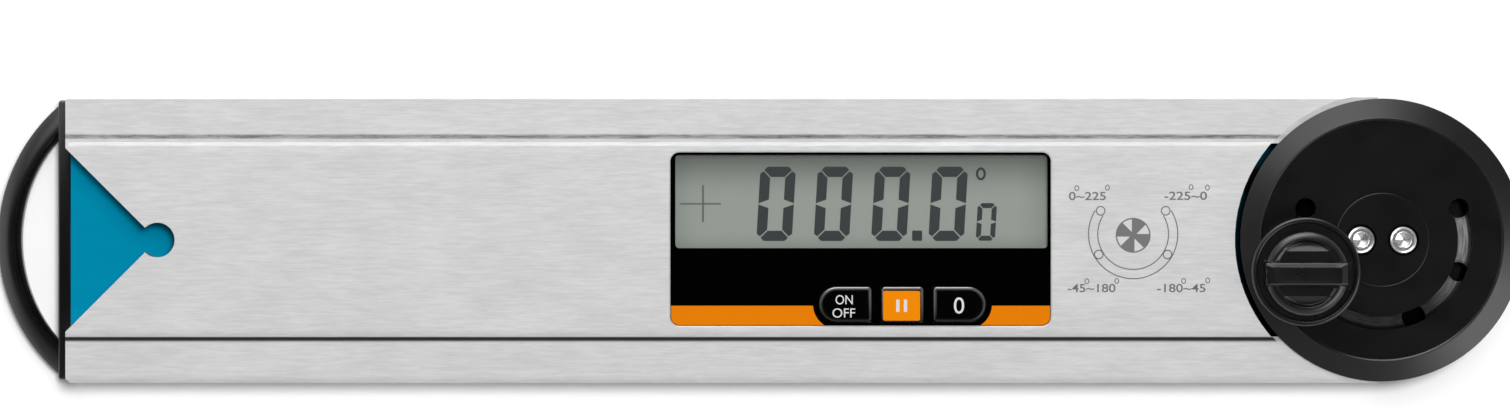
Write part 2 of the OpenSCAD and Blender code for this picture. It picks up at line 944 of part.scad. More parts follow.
module display_hub() {
    color("silver")
        difference() {
            hub_body(show_z0, pocket_z, chamber_z0, chamber_z1);
            translate([0, 0, show_z0 - cut])
                cylinder(d = axle_d + 2 * hinge_fit, h = show_t);
            ring(ring_wall_r, ring_room_r, show_z0 - cut, ring_room_z);
            cable_path(cable_room);
            for (turn = position_angles)
                rotate([0, 0, turn])
                    translate([slot_r, 0, pocket_z - thread_hole_d]) {
                        cylinder(d = stud_d + 2 * hinge_fit, h = thread_hole_d + cut);
                        thread_mouth();
                    }
            rotate([0, 0, spare_angle])
                translate([slot_r, 0, pocket_z - thread_hole_d])
                    cylinder(d = thread_mouth_d, h = thread_hole_d + cut);
        }
}

// Countersink of a thread hole, from the hole's bottom up to the hub's face
module thread_mouth() {
    mouth_h = (thread_mouth_d - stud_d) / 2;
    translate([0, 0, thread_hole_d - mouth_h])
        cylinder(d1 = stud_d, d2 = thread_mouth_d, h = mouth_h);
    translate([0, 0, thread_hole_d])
        cylinder(d = thread_mouth_d, h = cut);
}

module display_hub_screws() {
    color("gray")
        prong_screw_places(show_z0)
            sunk_screw(prong_screw_len(show_z0, chamber_z1));
}

module encoder_stator() {
    color("darkgreen")
        ring(ring_bore / 2, ring_d / 2, ring_room_z - stator_t, ring_room_z);
}

// Flat cable: along the chamber's floor, then up to the underside of the board
module sensor_cable() {
    rise_x = board_x1 + cable_rise;
    top_x = board_x1 + cable_bend;
    tail_x = board_x1 - cable_tail;
    top_z = board_z0 - cable_t;
    color("white")
        difference() {
            translate([0, cable_y + cable_w / 2, 0])
                rotate([90, 0, 0])
                    linear_extrude(cable_w)
                        polygon([
                            [-axle_d / 2, cable_z], [-axle_d / 2, cable_z + cable_t],
                            [rise_x, cable_z + cable_t], [top_x, board_z0], [tail_x, board_z0],
                            [tail_x, top_z], [top_x, top_z], [rise_x, cable_z]
                        ]);
            translate([0, 0, cable_z - cut])
                cylinder(d = ring_d + 2 * hinge_fit, h = cable_t + 2 * cut);
        }
}

module notch_block() {
    color("dimgray")
        difference() {
            block(
                [-arm_reach, -chamber_w / 2 + slide_fit, chamber_z0 + slide_fit],
                [-arm_reach + notch_block_len, chamber_w / 2 - slide_fit, chamber_z1 - slide_fit]
            );
            notch_cutter(show_z0, show_z1);
            notch_screw_places()
                sunk_hole(notch_screw_len);
        }
}

module notch_screws() {
    color("gray")
        notch_screw_places()
            sunk_screw(notch_screw_len);
}

module rail_plugs() {
    color("gray")
        both_sides()
            block(
                [-arm_reach, side_in + slide_fit, chamber_z0 + slide_fit],
                [-arm_reach + plug_len, side_out - slide_fit, chamber_z1 - slide_fit]
            );
}

// ---- Screen and buttons ----

module at_window() {
    translate([-window_x, window_y, 0])
        children();
}

module at_screen() {
    translate([screen_x, screen_y, 0])
        children();
}

module at_surround() {
    translate([hold_x, button_y, 0])
        children();
}

// Outline of an outer button: straight on the inside, half round on the outside
module side_outline(grow) {
    h = button_h + 2 * grow;
    w = side_button_w + 2 * grow;
    translate([-w / 2 + h / 2, -h / 2])
        square([w - h / 2, h]);
    translate([-w / 2 + h / 2, 0])
        circle(d = h);
}

module mid_outline(grow) {
    square([mid_button_w + 2 * grow, button_h + 2 * grow], center = true);
}

module left_place() {
    translate([hold_x - side_shift, button_y, 0])
        children();
}

module right_place() {
    translate([hold_x + side_shift, button_y, 0])
        mirror([1, 0, 0])
            children();
}

module button_openings(grow) {
    left_place()
        side_outline(grow);
    right_place()
        side_outline(grow);
    at_surround()
        mid_outline(grow);
}

module plate_outline() {
    rounded_rect(window_w - 2 * face_fit, window_h - 2 * face_fit, window_r - face_fit);
}

module front_plate() {
    color("#111111")
        difference() {
            at_window() {
                translate([0, 0, chamber_z1 - cut])
                    linear_extrude(plate_z1 - chamber_z1 + cut)
                        plate_outline();
                translate([0, 0, plate_flange_z])
                    linear_extrude(plate_flange_t)
                        square([window_w + 2 * plate_margin, window_h + 2 * plate_margin], center = true);
            }
            at_screen()
                translate([0, 0, plate_flange_z - cut])
                    linear_extrude(show_t)
                        rounded_rect(screen_w + 2 * slide_fit, screen_h + 2 * slide_fit, screen_r);
            translate([0, 0, plate_flange_z - cut])
                linear_extrude(show_t)
                    button_openings(face_fit);
            translate([0, 0, plate_z1 - surround_seat])
                linear_extrude(show_t)
                    at_surround()
                        stadium(surround_w + 2 * slide_fit, surround_h + 2 * slide_fit);
            translate([0, 0, plate_z1 - band_t])
                linear_extrude(show_t)
                    band_outline(slide_fit);
        }
}

// Two pieces of the lower strip, either side of the surround
module band_outline(grow) {
    difference() {
        intersection() {
            at_window()
                plate_outline();
            translate([-window_x - window_w, win_low])
                square([2 * window_w, band_h + grow]);
        }
        at_surround()
            stadium(surround_w + 2 * slide_fit, surround_h + 2 * slide_fit);
    }
}

module orange_band() {
    color("darkorange")
        translate([0, 0, plate_z1 - band_t])
            linear_extrude(band_t)
                band_outline(0);
}

module button_surround() {
    color("black")
        translate([0, 0, plate_z1 - surround_seat])
            linear_extrude(surround_seat + surround_proud)
                difference() {
                    intersection() {
                        at_surround()
                            stadium(surround_w, surround_h);
                        at_window()
                            plate_outline();
                    }
                    button_openings(face_fit);
                }
}

module screen_window() {
    color("lightcyan")
        at_screen()
            translate([0, 0, plate_flange_z])
                linear_extrude(plate_z1 - screen_drop - plate_flange_z)
                    rounded_rect(screen_w, screen_h, screen_r);
}

module screen_glass() {
    color("darkseagreen")
        at_screen()
            translate([0, 0, glass_z])
                linear_extrude(glass_t)
                    square([screen_w + glass_edge, screen_h + glass_edge], center = true);
}

module contact_strips() {
    half = (screen_h + glass_edge - strip_w) / 2;
    color("pink")
        at_screen()
            for (side = [-1, 1])
                block(
                    [-screen_w / 2 + strip_end, side * half - strip_w / 2, board_z1],
                    [screen_w / 2 - strip_end, side * half + strip_w / 2, glass_z]
                );
}

module power_button() {
    color("#1a1a1a")
        left_place()
            button_solid()
                side_outline($grow);
}

module hold_button() {
    color("orange")
        at_surround()
            button_solid()
                mid_outline($grow);
}

module zero_button() {
    color("#1a1a1a")
        right_place()
            button_solid()
                side_outline($grow);
}

// Cap, retaining flange and stem under an outline that grows by $grow
module button_solid() {
    translate([0, 0, button_flange_z])
        linear_extrude(plate_z1 + button_proud - button_flange_z)
            children($grow = 0);
    translate([0, 0, button_flange_z])
        linear_extrude(button_flange_t)
            children($grow = button_flange);
    translate([0, 0, stem_z])
        cylinder(d = stem_d, h = button_flange_z - stem_z + cut);
}

// ---- Electronics ----

module board_screw_places() {
    both_sides() {
        translate([board_x0 + post_inset, post_y, board_z1])
            children();
        translate([board_x1 - post_inset, post_y, board_z1])
            children();
    }
}

module circuit_board() {
    color("seagreen")
        difference() {
            block([board_x0, -board_w / 2, board_z0], [board_x1, board_w / 2, board_z1]);
            board_screw_places()
                translate([0, 0, -board_t - cut])
                    cylinder(d = small_d + 2 * slide_fit, h = board_t + 2 * cut);
        }
}

module board_screws() {
    color("gray")
        board_screw_places()
            small_screw(board_t + board_grip);
}

// Two chips on the tail of the board and one under the screen
module board_chips() {
    first_x = cell_x - chip_shift;
    color("#333333")
        for (place = [[first_x, 0], [first_x + chip_step, 0], [screen_x, screen_y]])
            translate([place.x - chip_w / 2, place.y - chip_w / 2, board_z1])
                cube([chip_w, chip_w, chip_t]);
}

module key_switches() {
    color("black")
        for (x = [-side_shift, 0, side_shift])
            translate([hold_x + x, button_y, board_z1])
                difference() {
                    block([-switch_w / 2, -switch_w / 2, 0], [switch_w / 2, switch_w / 2, switch_h]);
                    translate([0, 0, switch_wall])
                        cylinder(d = stem_d + 2 * face_fit, h = switch_h);
                }
}

// Open tray that fills the chamber's floor and carries the board on its walls and posts
module module_tray() {
    color("darkslategray")
        difference() {
            union() {
                difference() {
                    block([tray_x0, -tray_w / 2, chamber_z0], [tray_x1, tray_w / 2, board_z0]);
                    block(
                        [tray_x0 + tray_end, -tray_w / 2 + tray_side, chamber_z0 + tray_floor],
                        [tray_x1 - tray_end, tray_w / 2 - tray_side, board_z0 + cut]
                    );
                }
                board_screw_places()
                    translate([0, 0, chamber_z0 - board_z1])
                        cylinder(d = post_d, h = board_z0 - chamber_z0);
                cover_screw_places()
                    translate([0, 0, skin_t])
                        cylinder(d = post_d, h = board_z0 - chamber_z0);
            }
            board_screw_places()
                translate([0, 0, -board_t - board_grip - cut])
                    cylinder(d = small_d + 2 * slide_fit, h = board_grip + 2 * cut);
            cover_screw_places()
                translate([0, 0, -cut])
                    cylinder(d = sunk_d + 2 * slide_fit, h = cover_screw_len + slide_fit + cut);
            at_cell()
                translate([0, 0, chamber_z0 - cut])
                    cylinder(d = cell_d + 2 * cell_room, h = show_t);
            block(
                [tray_x1 - tray_end - cut, cable_y - cable_w / 2 - cable_room, chamber_z0 + tray_floor],
                [tray_x1 + cut, cable_y + cable_w / 2 + cable_room, board_z0 + cut]
            );
        }
}

module cover_screw_places() {
    for (turn = [0, 180])
        at_cell()
            rotate([0, 0, turn])
                translate([cover_screw_x, cover_screw_y, show_z0])
                    children();
}

module coin_cell() {
    color("lightgray")
        at_cell()
            translate([0, 0, cell_z])
                cylinder(d = cell_d, h = cell_t);
}

// A leaf over the cell and a hook at its edge, both hung from the board
module battery_contacts() {
    gap = board_z0 - cell_z - cell_t;
    color("gold")
        at_cell() {
            translate([0, leaf_w / 2, cell_z + cell_t])
                rotate([90, 0, 0])
                    linear_extrude(leaf_w)
                        polygon([
                            [-leaf_half, 0], [leaf_half, 0], [leaf_half, leaf_t], [0, leaf_t],
                            [0, gap - leaf_t], [leaf_reach, gap - leaf_t], [leaf_reach, gap],
                            [-leaf_t, gap], [-leaf_t, leaf_t], [-leaf_half, leaf_t]
                        ]);
            translate([cell_d / 2 + hook_gap, -leaf_w / 2, cell_z])
                cube([leaf_t, leaf_w, board_z0 - cell_z]);
        }
}

module battery_cover() {
    color("#303030")
        difference() {
            at_cell()
                translate([0, 0, show_z0])
                    linear_extrude(skin_t)
                        rounded_rect(cover_w, cover_h, window_r);
            cover_screw_places()
                sunk_hole(skin_t + cut);
        }
}

module cover_screws() {
    color("gray")
        cover_screw_places()
            sunk_screw(cover_screw_len);
}

// ---- Lock knob ----

module at_knob() {
    translate([knob_x, knob_y, 0])
        children();
}

module scoops() {
    for (side = [-1, 1])
        intersection() {
            translate([0, 0, knob_h - scoop_d])
                cylinder(d = crown_d - 2 * scoop_edge, h = scoop_d + cut);
            translate([-crown_d, side > 0 ? grip_w / 2 : -crown_d - grip_w / 2, knob_h - scoop_d])
                cube([2 * crown_d, crown_d, scoop_d + cut]);
        }
}

// Half section of the knob: eased foot, rolled rim and raised centre
module knob_profile() {
    rim_r = knob_d / 2;
    crown_r = crown_d / 2;
    polygon([
        [0, 0], [rim_r - knob_ease, 0], [rim_r, knob_ease], [rim_r, skirt_h - knob_roll],
        [rim_r - knob_roll, skirt_h], [rim_r - 2 * knob_roll, skirt_h],
        [crown_r + knob_ease, skirt_h - knob_roll], [crown_r, skirt_h - crown_foot],
        [crown_r - crown_slope, knob_h], [0, knob_h]
    ]);
}

module lock_knob() {
    foot_z = disc_face + foot_gap - knob_z0;
    color("#1c1c1c")
        at_knob()
            translate([0, 0, knob_z0])
                difference() {
                    union() {
                        rotate_extrude()
                            knob_profile();
                        translate([0, 0, foot_z])
                            cylinder(d = foot_d, h = cut - foot_z);
                    }
                    scoops();
                    translate([0, 0, foot_z - cut])
                        cylinder(d = stud_d, h = knob_bore + cut - foot_z);
                }
}

// Threads above and below the disc, joined by the neck that runs in the slot
module knob_stud() {
    thread_z0 = pocket_z - thread_hole_d + stud_tip_gap;
    head_z = knob_z0 + knob_bore;
    color("lightsteelblue")
        at_knob() {
            translate([0, 0, thread_z0])
                cylinder(d = stud_d, h = pocket_z - neck_clear - thread_z0);
            translate([0, 0, thread_z0])
                cylinder(d = neck_d, h = head_z - thread_z0);
            translate([0, 0, disc_face + neck_clear])
                cylinder(d = stud_d, h = head_z - disc_face - neck_clear);
        }
}

base_arm();
blue_inlay();
end_cap();
end_cap_screws();
base_hub();
base_hub_screws();
axle();
axle_screws();
thrust_washer();
encoder_rotor();
hinge_disc();
pivot_cap();
disc_screws();
friction_washer();
display_arm();
display_hub();
display_hub_screws();
encoder_stator();
sensor_cable();
notch_block();
notch_screws();
rail_plugs();
front_plate();
orange_band();
button_surround();
screen_window();
screen_glass();
contact_strips();
circuit_board();
board_screws();
board_chips();
key_switches();
module_tray();
coin_cell();
battery_contacts();
battery_cover();
cover_screws();
power_button();
hold_button();
zero_button();
lock_knob();
knob_stud();
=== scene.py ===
import math

import bpy
import numpy as np
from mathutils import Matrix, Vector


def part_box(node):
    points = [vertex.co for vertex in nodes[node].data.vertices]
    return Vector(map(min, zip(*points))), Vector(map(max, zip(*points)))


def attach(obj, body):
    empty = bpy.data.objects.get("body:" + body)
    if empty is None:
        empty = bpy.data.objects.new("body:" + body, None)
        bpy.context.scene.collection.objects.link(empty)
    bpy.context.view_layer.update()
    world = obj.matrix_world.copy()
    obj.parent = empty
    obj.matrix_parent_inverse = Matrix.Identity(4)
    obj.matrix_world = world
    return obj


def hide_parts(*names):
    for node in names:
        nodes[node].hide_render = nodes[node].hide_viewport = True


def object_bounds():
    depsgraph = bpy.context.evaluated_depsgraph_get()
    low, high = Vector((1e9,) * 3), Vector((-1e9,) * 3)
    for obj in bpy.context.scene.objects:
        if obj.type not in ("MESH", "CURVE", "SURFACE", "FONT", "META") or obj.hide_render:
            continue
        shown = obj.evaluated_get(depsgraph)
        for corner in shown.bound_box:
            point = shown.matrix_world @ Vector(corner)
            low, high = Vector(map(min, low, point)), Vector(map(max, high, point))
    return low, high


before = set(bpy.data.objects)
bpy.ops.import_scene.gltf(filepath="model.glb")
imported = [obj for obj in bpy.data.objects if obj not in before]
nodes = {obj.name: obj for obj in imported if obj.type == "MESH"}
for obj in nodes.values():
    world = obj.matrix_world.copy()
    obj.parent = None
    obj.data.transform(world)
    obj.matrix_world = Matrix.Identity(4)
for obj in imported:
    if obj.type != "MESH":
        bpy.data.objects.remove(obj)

# Looks of a digital angle finder with two arms. Lengths are in millimetres until a mesh is made, and the
# named angles are in degrees.

cad_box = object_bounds()
MM = 0.001
PI = math.pi


def span(node):
    """Lowest and highest corner of a CAD node in millimetres."""
    low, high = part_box(node)
    return np.array(low) / MM, np.array(high) / MM


# ---- Sizes taken from the frame ----

arm_low, arm_high = span("display_arm")
knob_low, knob_high = span("lock_knob")
cap_low, cap_high = span("end_cap")
lens_low, lens_high = span("screen_window")
screw_low, screw_high = span("disc_screws")
FACE_Z = arm_high[2]
PLATE_FOOT = span("front_plate")[0][2]
HUB_TOP = span("display_hub")[1][2]
DISC_TOP = span("hinge_disc")[1][2]
PIVOT_TOP = span("pivot_cap")[1][2]


# ---- Mesh code ----

def grid_faces(rows, columns, round_rows, round_columns):
    """Quads between neighbouring points of a grid, closed round where asked."""
    u = np.arange(rows if round_rows else rows - 1)[:, None]
    v = np.arange(columns if round_columns else columns - 1)[None, :]
    u1 = (u + 1) % rows
    v1 = (v + 1) % columns
    corners = [u * columns + v, u * columns + v1, u1 * columns + v1, u1 * columns + v]
    return np.stack(np.broadcast_arrays(*corners), -1).reshape(-1, 4)


def piece(name, points, faces, body, finish, sharp=35, replaced=(), edge=None):
    """A mesh object from points in millimetres and faces, riding on a body; edge gives each point's
    painted highlight.
    """
    mesh = bpy.data.meshes.new(name)
    mesh.from_pydata((np.asarray(points, float) * MM).tolist(), [], [list(f) for f in faces])
    mesh.validate()
    mesh.update()
    mesh.shade_smooth()
    mesh.set_sharp_from_angle(angle=math.radians(sharp))
    mesh.materials.append(finish)
    if edge is not None:
        mesh.attributes.new("edge", "FLOAT", "POINT").data.foreach_set("value", edge)
    made = bpy.data.objects.new(name, mesh)
    bpy.context.scene.collection.objects.link(made)
    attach(made, body)
    if replaced:
        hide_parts(*replaced)
    return made


def join(parts):
    """Several (points, faces) pairs as one pair, with the face numbers moved on."""
    points, faces, start = [], [], 0
    for part_points, part_faces in parts:
        points.append(np.asarray(part_points, float).reshape(-1, 3))
        faces += [[start + i for i in face] for face in part_faces]
        start += len(points[-1])
    return np.concatenate(points), faces


def shell(grid, round_rows=False, round_columns=True, ends=(False, False)):
    """(points, faces) of a grid of points; an end row that is asked for is closed by one face."""
    rows, columns = grid.shape[:2]
    faces = grid_faces(rows, columns, round_rows, round_columns).tolist()
    if ends[0]:
        faces.append(list(range(columns))[::-1])
    if ends[1]:
        faces.append([(rows - 1) * columns + i for i in range(columns)])
    return grid.reshape(-1, 3), faces


def rounded_outline(width, height, radii, steps=12):
    """Points and outward normals round a rectangle whose four corners are arcs of their own radii:
    each point is its arc's centre plus radius times (cos, sin) of the angle."""
    turn = np.linspace(0, PI / 2, steps)
    points, normals = [], []
    for k, (sx, sy) in enumerate([(1, 1), (-1, 1), (-1, -1), (1, -1)]):
        r = radii[k]
        angle = turn + k * PI / 2
        normal = np.stack([np.cos(angle), np.sin(angle)], -1)
        centre = np.array([sx * (width / 2 - r), sy * (height / 2 - r)])
        points.append(centre + r * normal)
        normals.append(normal)
    return np.concatenate(points), np.concatenate(normals)


def stacked(outline, centre, profile):
    """Grid whose rows are the outline moved inwards by a profile's inset and lifted to its height:
    point = outline - inset * normal, z = height."""
    points, normals = outline
    inset, height = np.array(profile, float).T
    flat = points[None] - inset[:, None, None] * normals[None] + np.asarray(centre, float)
    z = np.broadcast_to(height[:, None, None], flat.shape[:2] + (1,))
    return np.concatenate([flat, z], -1)


def quarter(r, inset, height, steps=5):
    """Profile points of a rounded upper edge of radius r that ends at that inset and height:
    the angle runs from level to upright."""
    a = np.linspace(0, PI / 2, steps)
    return [(inset - r + r * (1 - math.cos(t)), height - r + r * math.sin(t)) for t in a]


def turned(centre, radii, heights, steps=96):
    """Grid of a turned shape: row i is a circle of radius i at height i round an upright axis."""
    turn = np.linspace(0, 2 * PI, steps, endpoint=False)
    r, z = np.asarray(radii, float)[:, None], np.asarray(heights, float)[:, None]
    x = centre[0] + r * np.cos(turn)
    y = centre[1] + r * np.sin(turn)
    return np.stack([x, y, np.broadcast_to(z, x.shape)], -1)


def prism(corners, z0, z1):
    """(points, faces) of a flat polygon between two heights; corners run anticlockwise."""
    corners = np.asarray(corners, float)
    n = len(corners)
    low = np.column_stack([corners, np.full(n, z0)])
    high = np.column_stack([corners, np.full(n, z1)])
    sides = [[i, (i + 1) % n, n + (i + 1) % n, n + i] for i in range(n)]
    return np.concatenate([low, high]), sides + [list(range(n))[::-1], list(range(n, 2 * n))]


def band(outer, inner, z0, z1, closed=True):
    """(points, faces) of a flat strip between two lines with as many points, between two heights:
    the four edge lines are the columns of a grid that is carried along them."""
    def lift(line, z):
        return np.column_stack([line, np.full(len(line), z)])
    grid = np.stack([lift(outer, z0), lift(outer, z1), lift(inner, z1), lift(inner, z0)], 1)
    return shell(grid, round_rows=closed, ends=(not closed, not closed))


def arc(centre, rx, ry, start, end, steps):
    """Points of an ellipse's arc from one angle to another, in degrees."""
    a = np.radians(np.linspace(start, end, steps))
    return np.stack([centre[0] + rx * np.cos(a), centre[1] + ry * np.sin(a)], -1)


def ring_line(centre, rx, ry, width, z0, z1, start=0, end=360, steps=64):
    """A line of that width along an ellipse's arc: two arcs half a width out and in."""
    whole = end - start >= 360
    last = end - 360 / steps if whole else end
    outer = arc(centre, rx + width / 2, ry + width / 2, start, last, steps)
    inner = arc(centre, rx - width / 2, ry - width / 2, start, last, steps)
    return band(outer, inner, z0, z1, closed=whole)


def words(text, left, right, base, height, z, thick, bold=0.0):
    """(points, faces) of plain lettering scaled to a width and a height of its figures."""
    curve = bpy.data.curves.new("words", "FONT")
    curve.body = text
    curve.extrude = 0.5                # the letters are 1 thick, from -0.5 to 0.5
    curve.offset = bold
    held = bpy.data.objects.new("words", curve)
    bpy.context.scene.collection.objects.link(held)
    bpy.context.view_layer.update()
    mesh = bpy.data.meshes.new_from_object(held.evaluated_get(bpy.context.evaluated_depsgraph_get()))
    points = np.array([v.co for v in mesh.vertices], float)
    faces = [list(p.vertices) for p in mesh.polygons]
    bpy.data.objects.remove(held)
    bpy.data.curves.remove(curve)
    bpy.data.meshes.remove(mesh)
    low, high = points.min(0), points.max(0)
    points[:, 0] = left + (points[:, 0] - low[0]) * (right - left) / (high[0] - low[0])
    points[:, 1] = base + (points[:, 1] - low[1]) * height / (high[1] - low[1])
    points[:, 2] = z + (points[:, 2] + 0.5) * thick
    return points, faces


# ---- Finishes ----

class Value:
    """One socket of a finish; arithmetic on it adds Math nodes."""

    def __init__(self, finish, socket):
        self.finish = finish
        self.socket = socket

    def _math(self, operation, a, b):
        return self.finish.node("ShaderNodeMath", {"operation": operation}, [a, b])

    def __add__(self, other):
        return self._math("ADD", self, other)

    def __radd__(self, other):
        return self._math("ADD", other, self)

    def __sub__(self, other):
        return self._math("SUBTRACT", self, other)

    def __rsub__(self, other):
        return self._math("SUBTRACT", other, self)

    def __mul__(self, other):
        return self._math("MULTIPLY", self, other)

    def __rmul__(self, other):
        return self._math("MULTIPLY", other, self)

    def above(self, other):
        return self._math("MAXIMUM", self, other)

    def ramp(self, low, high):
        """0 below low, 1 above high, smooth between."""
        settings = {"interpolation_type": "SMOOTHSTEP"}
        inputs = {"Value": self, "From Min": low, "From Max": high}
        return self.finish.node("ShaderNodeMapRange", settings, inputs)

    def between(self, start, full, thin, end):
        """0 below start and above end, 1 from full to thin, smooth between."""
        return self.ramp(start, full) * (1 - self.ramp(thin, end))


class Finish:
    """A node tree under construction, of a material or of the world."""

    def __init__(self, owner):
        owner.use_nodes = True
        self.tree = owner.node_tree
        self.tree.nodes.clear()

    def node(self, kind, settings=None, inputs=None, output=0):
        """Adds a node: settings first, then the values or links of its sockets."""
        made = self.tree.nodes.new(kind)
        for key, value in (settings or {}).items():
            setattr(made, key, value)
        named = inputs.items() if isinstance(inputs, dict) else enumerate(inputs or [])
        for key, value in named:
            if isinstance(value, Value):
                self.tree.links.new(value.socket, made.inputs[key])
            else:
                made.inputs[key].default_value = value
        return Value(self, made.outputs[output] if made.outputs else None)

    def place(self, stretch=(1, 1, 1)):
        """Object coordinates in millimetres, each divided by a length."""
        where = self.node("ShaderNodeTexCoord", output="Object")
        scale = [1 / (MM * s) for s in stretch]
        return self.node("ShaderNodeMapping", {}, {"Vector": where, "Scale": scale})

    def axis(self, letter):
        """One Object coordinate in millimetres."""
        return self.node("ShaderNodeSeparateXYZ", {}, {"Vector": self.place()}, output=letter)

    def from_hinge(self):
        """Distance from the hinge's axis in millimetres; the long third length takes the height out."""
        flat = self.place((1, 1, 1e6))
        return self.node("ShaderNodeVectorMath", {"operation": "LENGTH"}, {0: flat}, output="Value")

    def noise(self, stretch, detail=2.0, rough=0.5):
        """Noise whose features have the given lengths along X, Y and Z, in millimetres."""
        inputs = {"Vector": self.place(stretch), "Scale": 1.0, "Detail": detail, "Roughness": rough}
        return self.node("ShaderNodeTexNoise", {}, inputs)

    def blend(self, factor, a, b):
        """Colour a where the factor is 0 and b where it is 1."""
        return self.node("ShaderNodeMix", {"data_type": "RGBA"}, {0: factor, 6: a, 7: b}, output=2)

    def scaled(self, colour, share):
        """A colour times a share of light."""
        return self.node("ShaderNodeVectorMath", {"operation": "SCALE"}, {0: colour, "Scale": share})

    def bump(self, height, depth, strength=1.0):
        """Normals of a height from 0 to 1 over that depth in millimetres."""
        inputs = {"Strength": strength, "Distance": depth * MM, "Height": height}
        return self.node("ShaderNodeBump", {}, inputs)


def grey(level):
    return (level, level, level, 1.0)


def tint(red, green, blue):
    return (red, green, blue, 1.0)


def times(colour, share, more=0.0):
    """A plain colour times a share, with a little more light in each channel, up to 1."""
    return tuple(min(1.0, c * share + more) for c in colour[:3]) + (1.0,)


def material(name):
    made = bpy.data.materials.new(name)
    return made, Finish(made)


def close(finish, shader):
    finish.node("ShaderNodeOutputMaterial", {}, {"Surface": shader})


# Painted shade and highlight lines along the arm's face: how far from its middle each starts, is full,
# thins and ends.
LOWER_GROOVE_SHADE = (20.2, 20.5, 20.95, 21.6)
UPPER_GROOVE_SHADE = (21.05, 21.5, 21.95, 22.4)
PANEL_HIGHLIGHT_LINE = (17.2, 20.8, 20.6, 21.1)
PANEL_SHADE_LINE = (18.6, 20.2, 20.5, 20.9)
ARM_EDGE_SHADE = (28.3, 29.6)
GROOVE_SHADE_DEPTH = (0.9, 1.4)                # painted shade thins out between these depths below the face
FACE_LIGHT_RISE = 0.0011                     # painted light gained with each millimetre towards the upper edge


def arm_shade(f):
    """Share of colour that the arm's face keeps, with light and shade painted in: painted shade in the two
    grooves, thick and even in the lower one and broken in the upper one, a painted highlight along the
    panel's upper edge, painted shade along its lower edge and at the arm's lower edge, and painted light
    that rises slowly over the face."""
    y = f.axis("Y")
    down = 0 - y
    near = 1 - (FACE_Z - f.axis("Z")).ramp(*GROOVE_SHADE_DEPTH)
    broken = 0.55 + f.noise((7, 1.5, 1.5), 4.0, 0.75).ramp(0.3, 0.75)
    # painted shade in the grooves, where their walls shade the floor
    lower = 0.95 * down.between(*LOWER_GROOVE_SHADE) * near
    upper = 0.5 * y.between(*UPPER_GROOVE_SHADE) * near * broken
    # painted highlight along the panel's upper edge
    bright = 0.09 * y.between(*PANEL_HIGHLIGHT_LINE)
    # painted shade along the panel's lower edge and at the arm's lower edge
    edge_shade = 0.14 * (down.between(*PANEL_SHADE_LINE) + down.ramp(*ARM_EDGE_SHADE))
    return (1 - lower) * (1 - upper) * (1 + bright) * (1 - edge_shade) * (1 + FACE_LIGHT_RISE * y)


SCRATCH_W = 0.22
STREAK_W = 0.7


def brushed(name, dark, light, rough, metallic, grain, shade=None, specular=0.5):
    """Brushed metal: short fine scratches along X over wider streaks and cloudy patches."""
    made, f = material(name)
    fine = f.noise((grain, SCRATCH_W, SCRATCH_W), 3.0, 0.65)
    streaks = f.noise((grain * 2.2, STREAK_W, STREAK_W), 3.0, 0.55)
    clouds = f.noise((16, 7, 7), 3.0, 0.6)
    mix = (fine * 0.5 + streaks * 0.45 + clouds * 0.35 - 0.15).ramp(0.28, 0.72)
    colour = f.blend(mix, dark, light)
    # the shade function paints light and shade into the colour
    if shade:
        colour = f.scaled(colour, shade(f))
    close(f, f.node("ShaderNodeBsdfPrincipled", {}, {
        "Base Color": colour,
        "Metallic": metallic,
        "Roughness": rough + 0.1 * (fine - 0.5),
        "Specular IOR Level": specular,
        "Normal": f.bump(fine + streaks, 0.02, 0.6),
    }))
    return made


# Painted shade ring on the blue inlay: from the hinge's axis, where it starts, is full, thins and ends.
GAP_SHADE_RING = (27.5, 28.8, 36.0, 38.0)


def gap_shade(f):
    """Share of colour that the blue inlay keeps: painted shade, a dark ring where the deep gap between the
    disc's edge and the arm's pocket runs over it."""
    return 1 - 0.84 * f.from_hinge().between(*GAP_SHADE_RING)


HOLE_DEPTHS = (2.2, 0.7)               # painted shade: the hub's holes are darkest and bright again at these depths
SLOT_LIGHT_REACH = (4.5, 18.5)                # painted light grows from dark to bright between these places, mostly along X
SLOT_LIGHT_SLANT = 0.3                        # and this much along Y
WALL_SHADE = (17.9, 18.35)             # radii where the slot's outer wall darkens the hub
MARK_FINE = (3.2, 5.0)                 # rubbed marks for each millimetre of radius and each radian


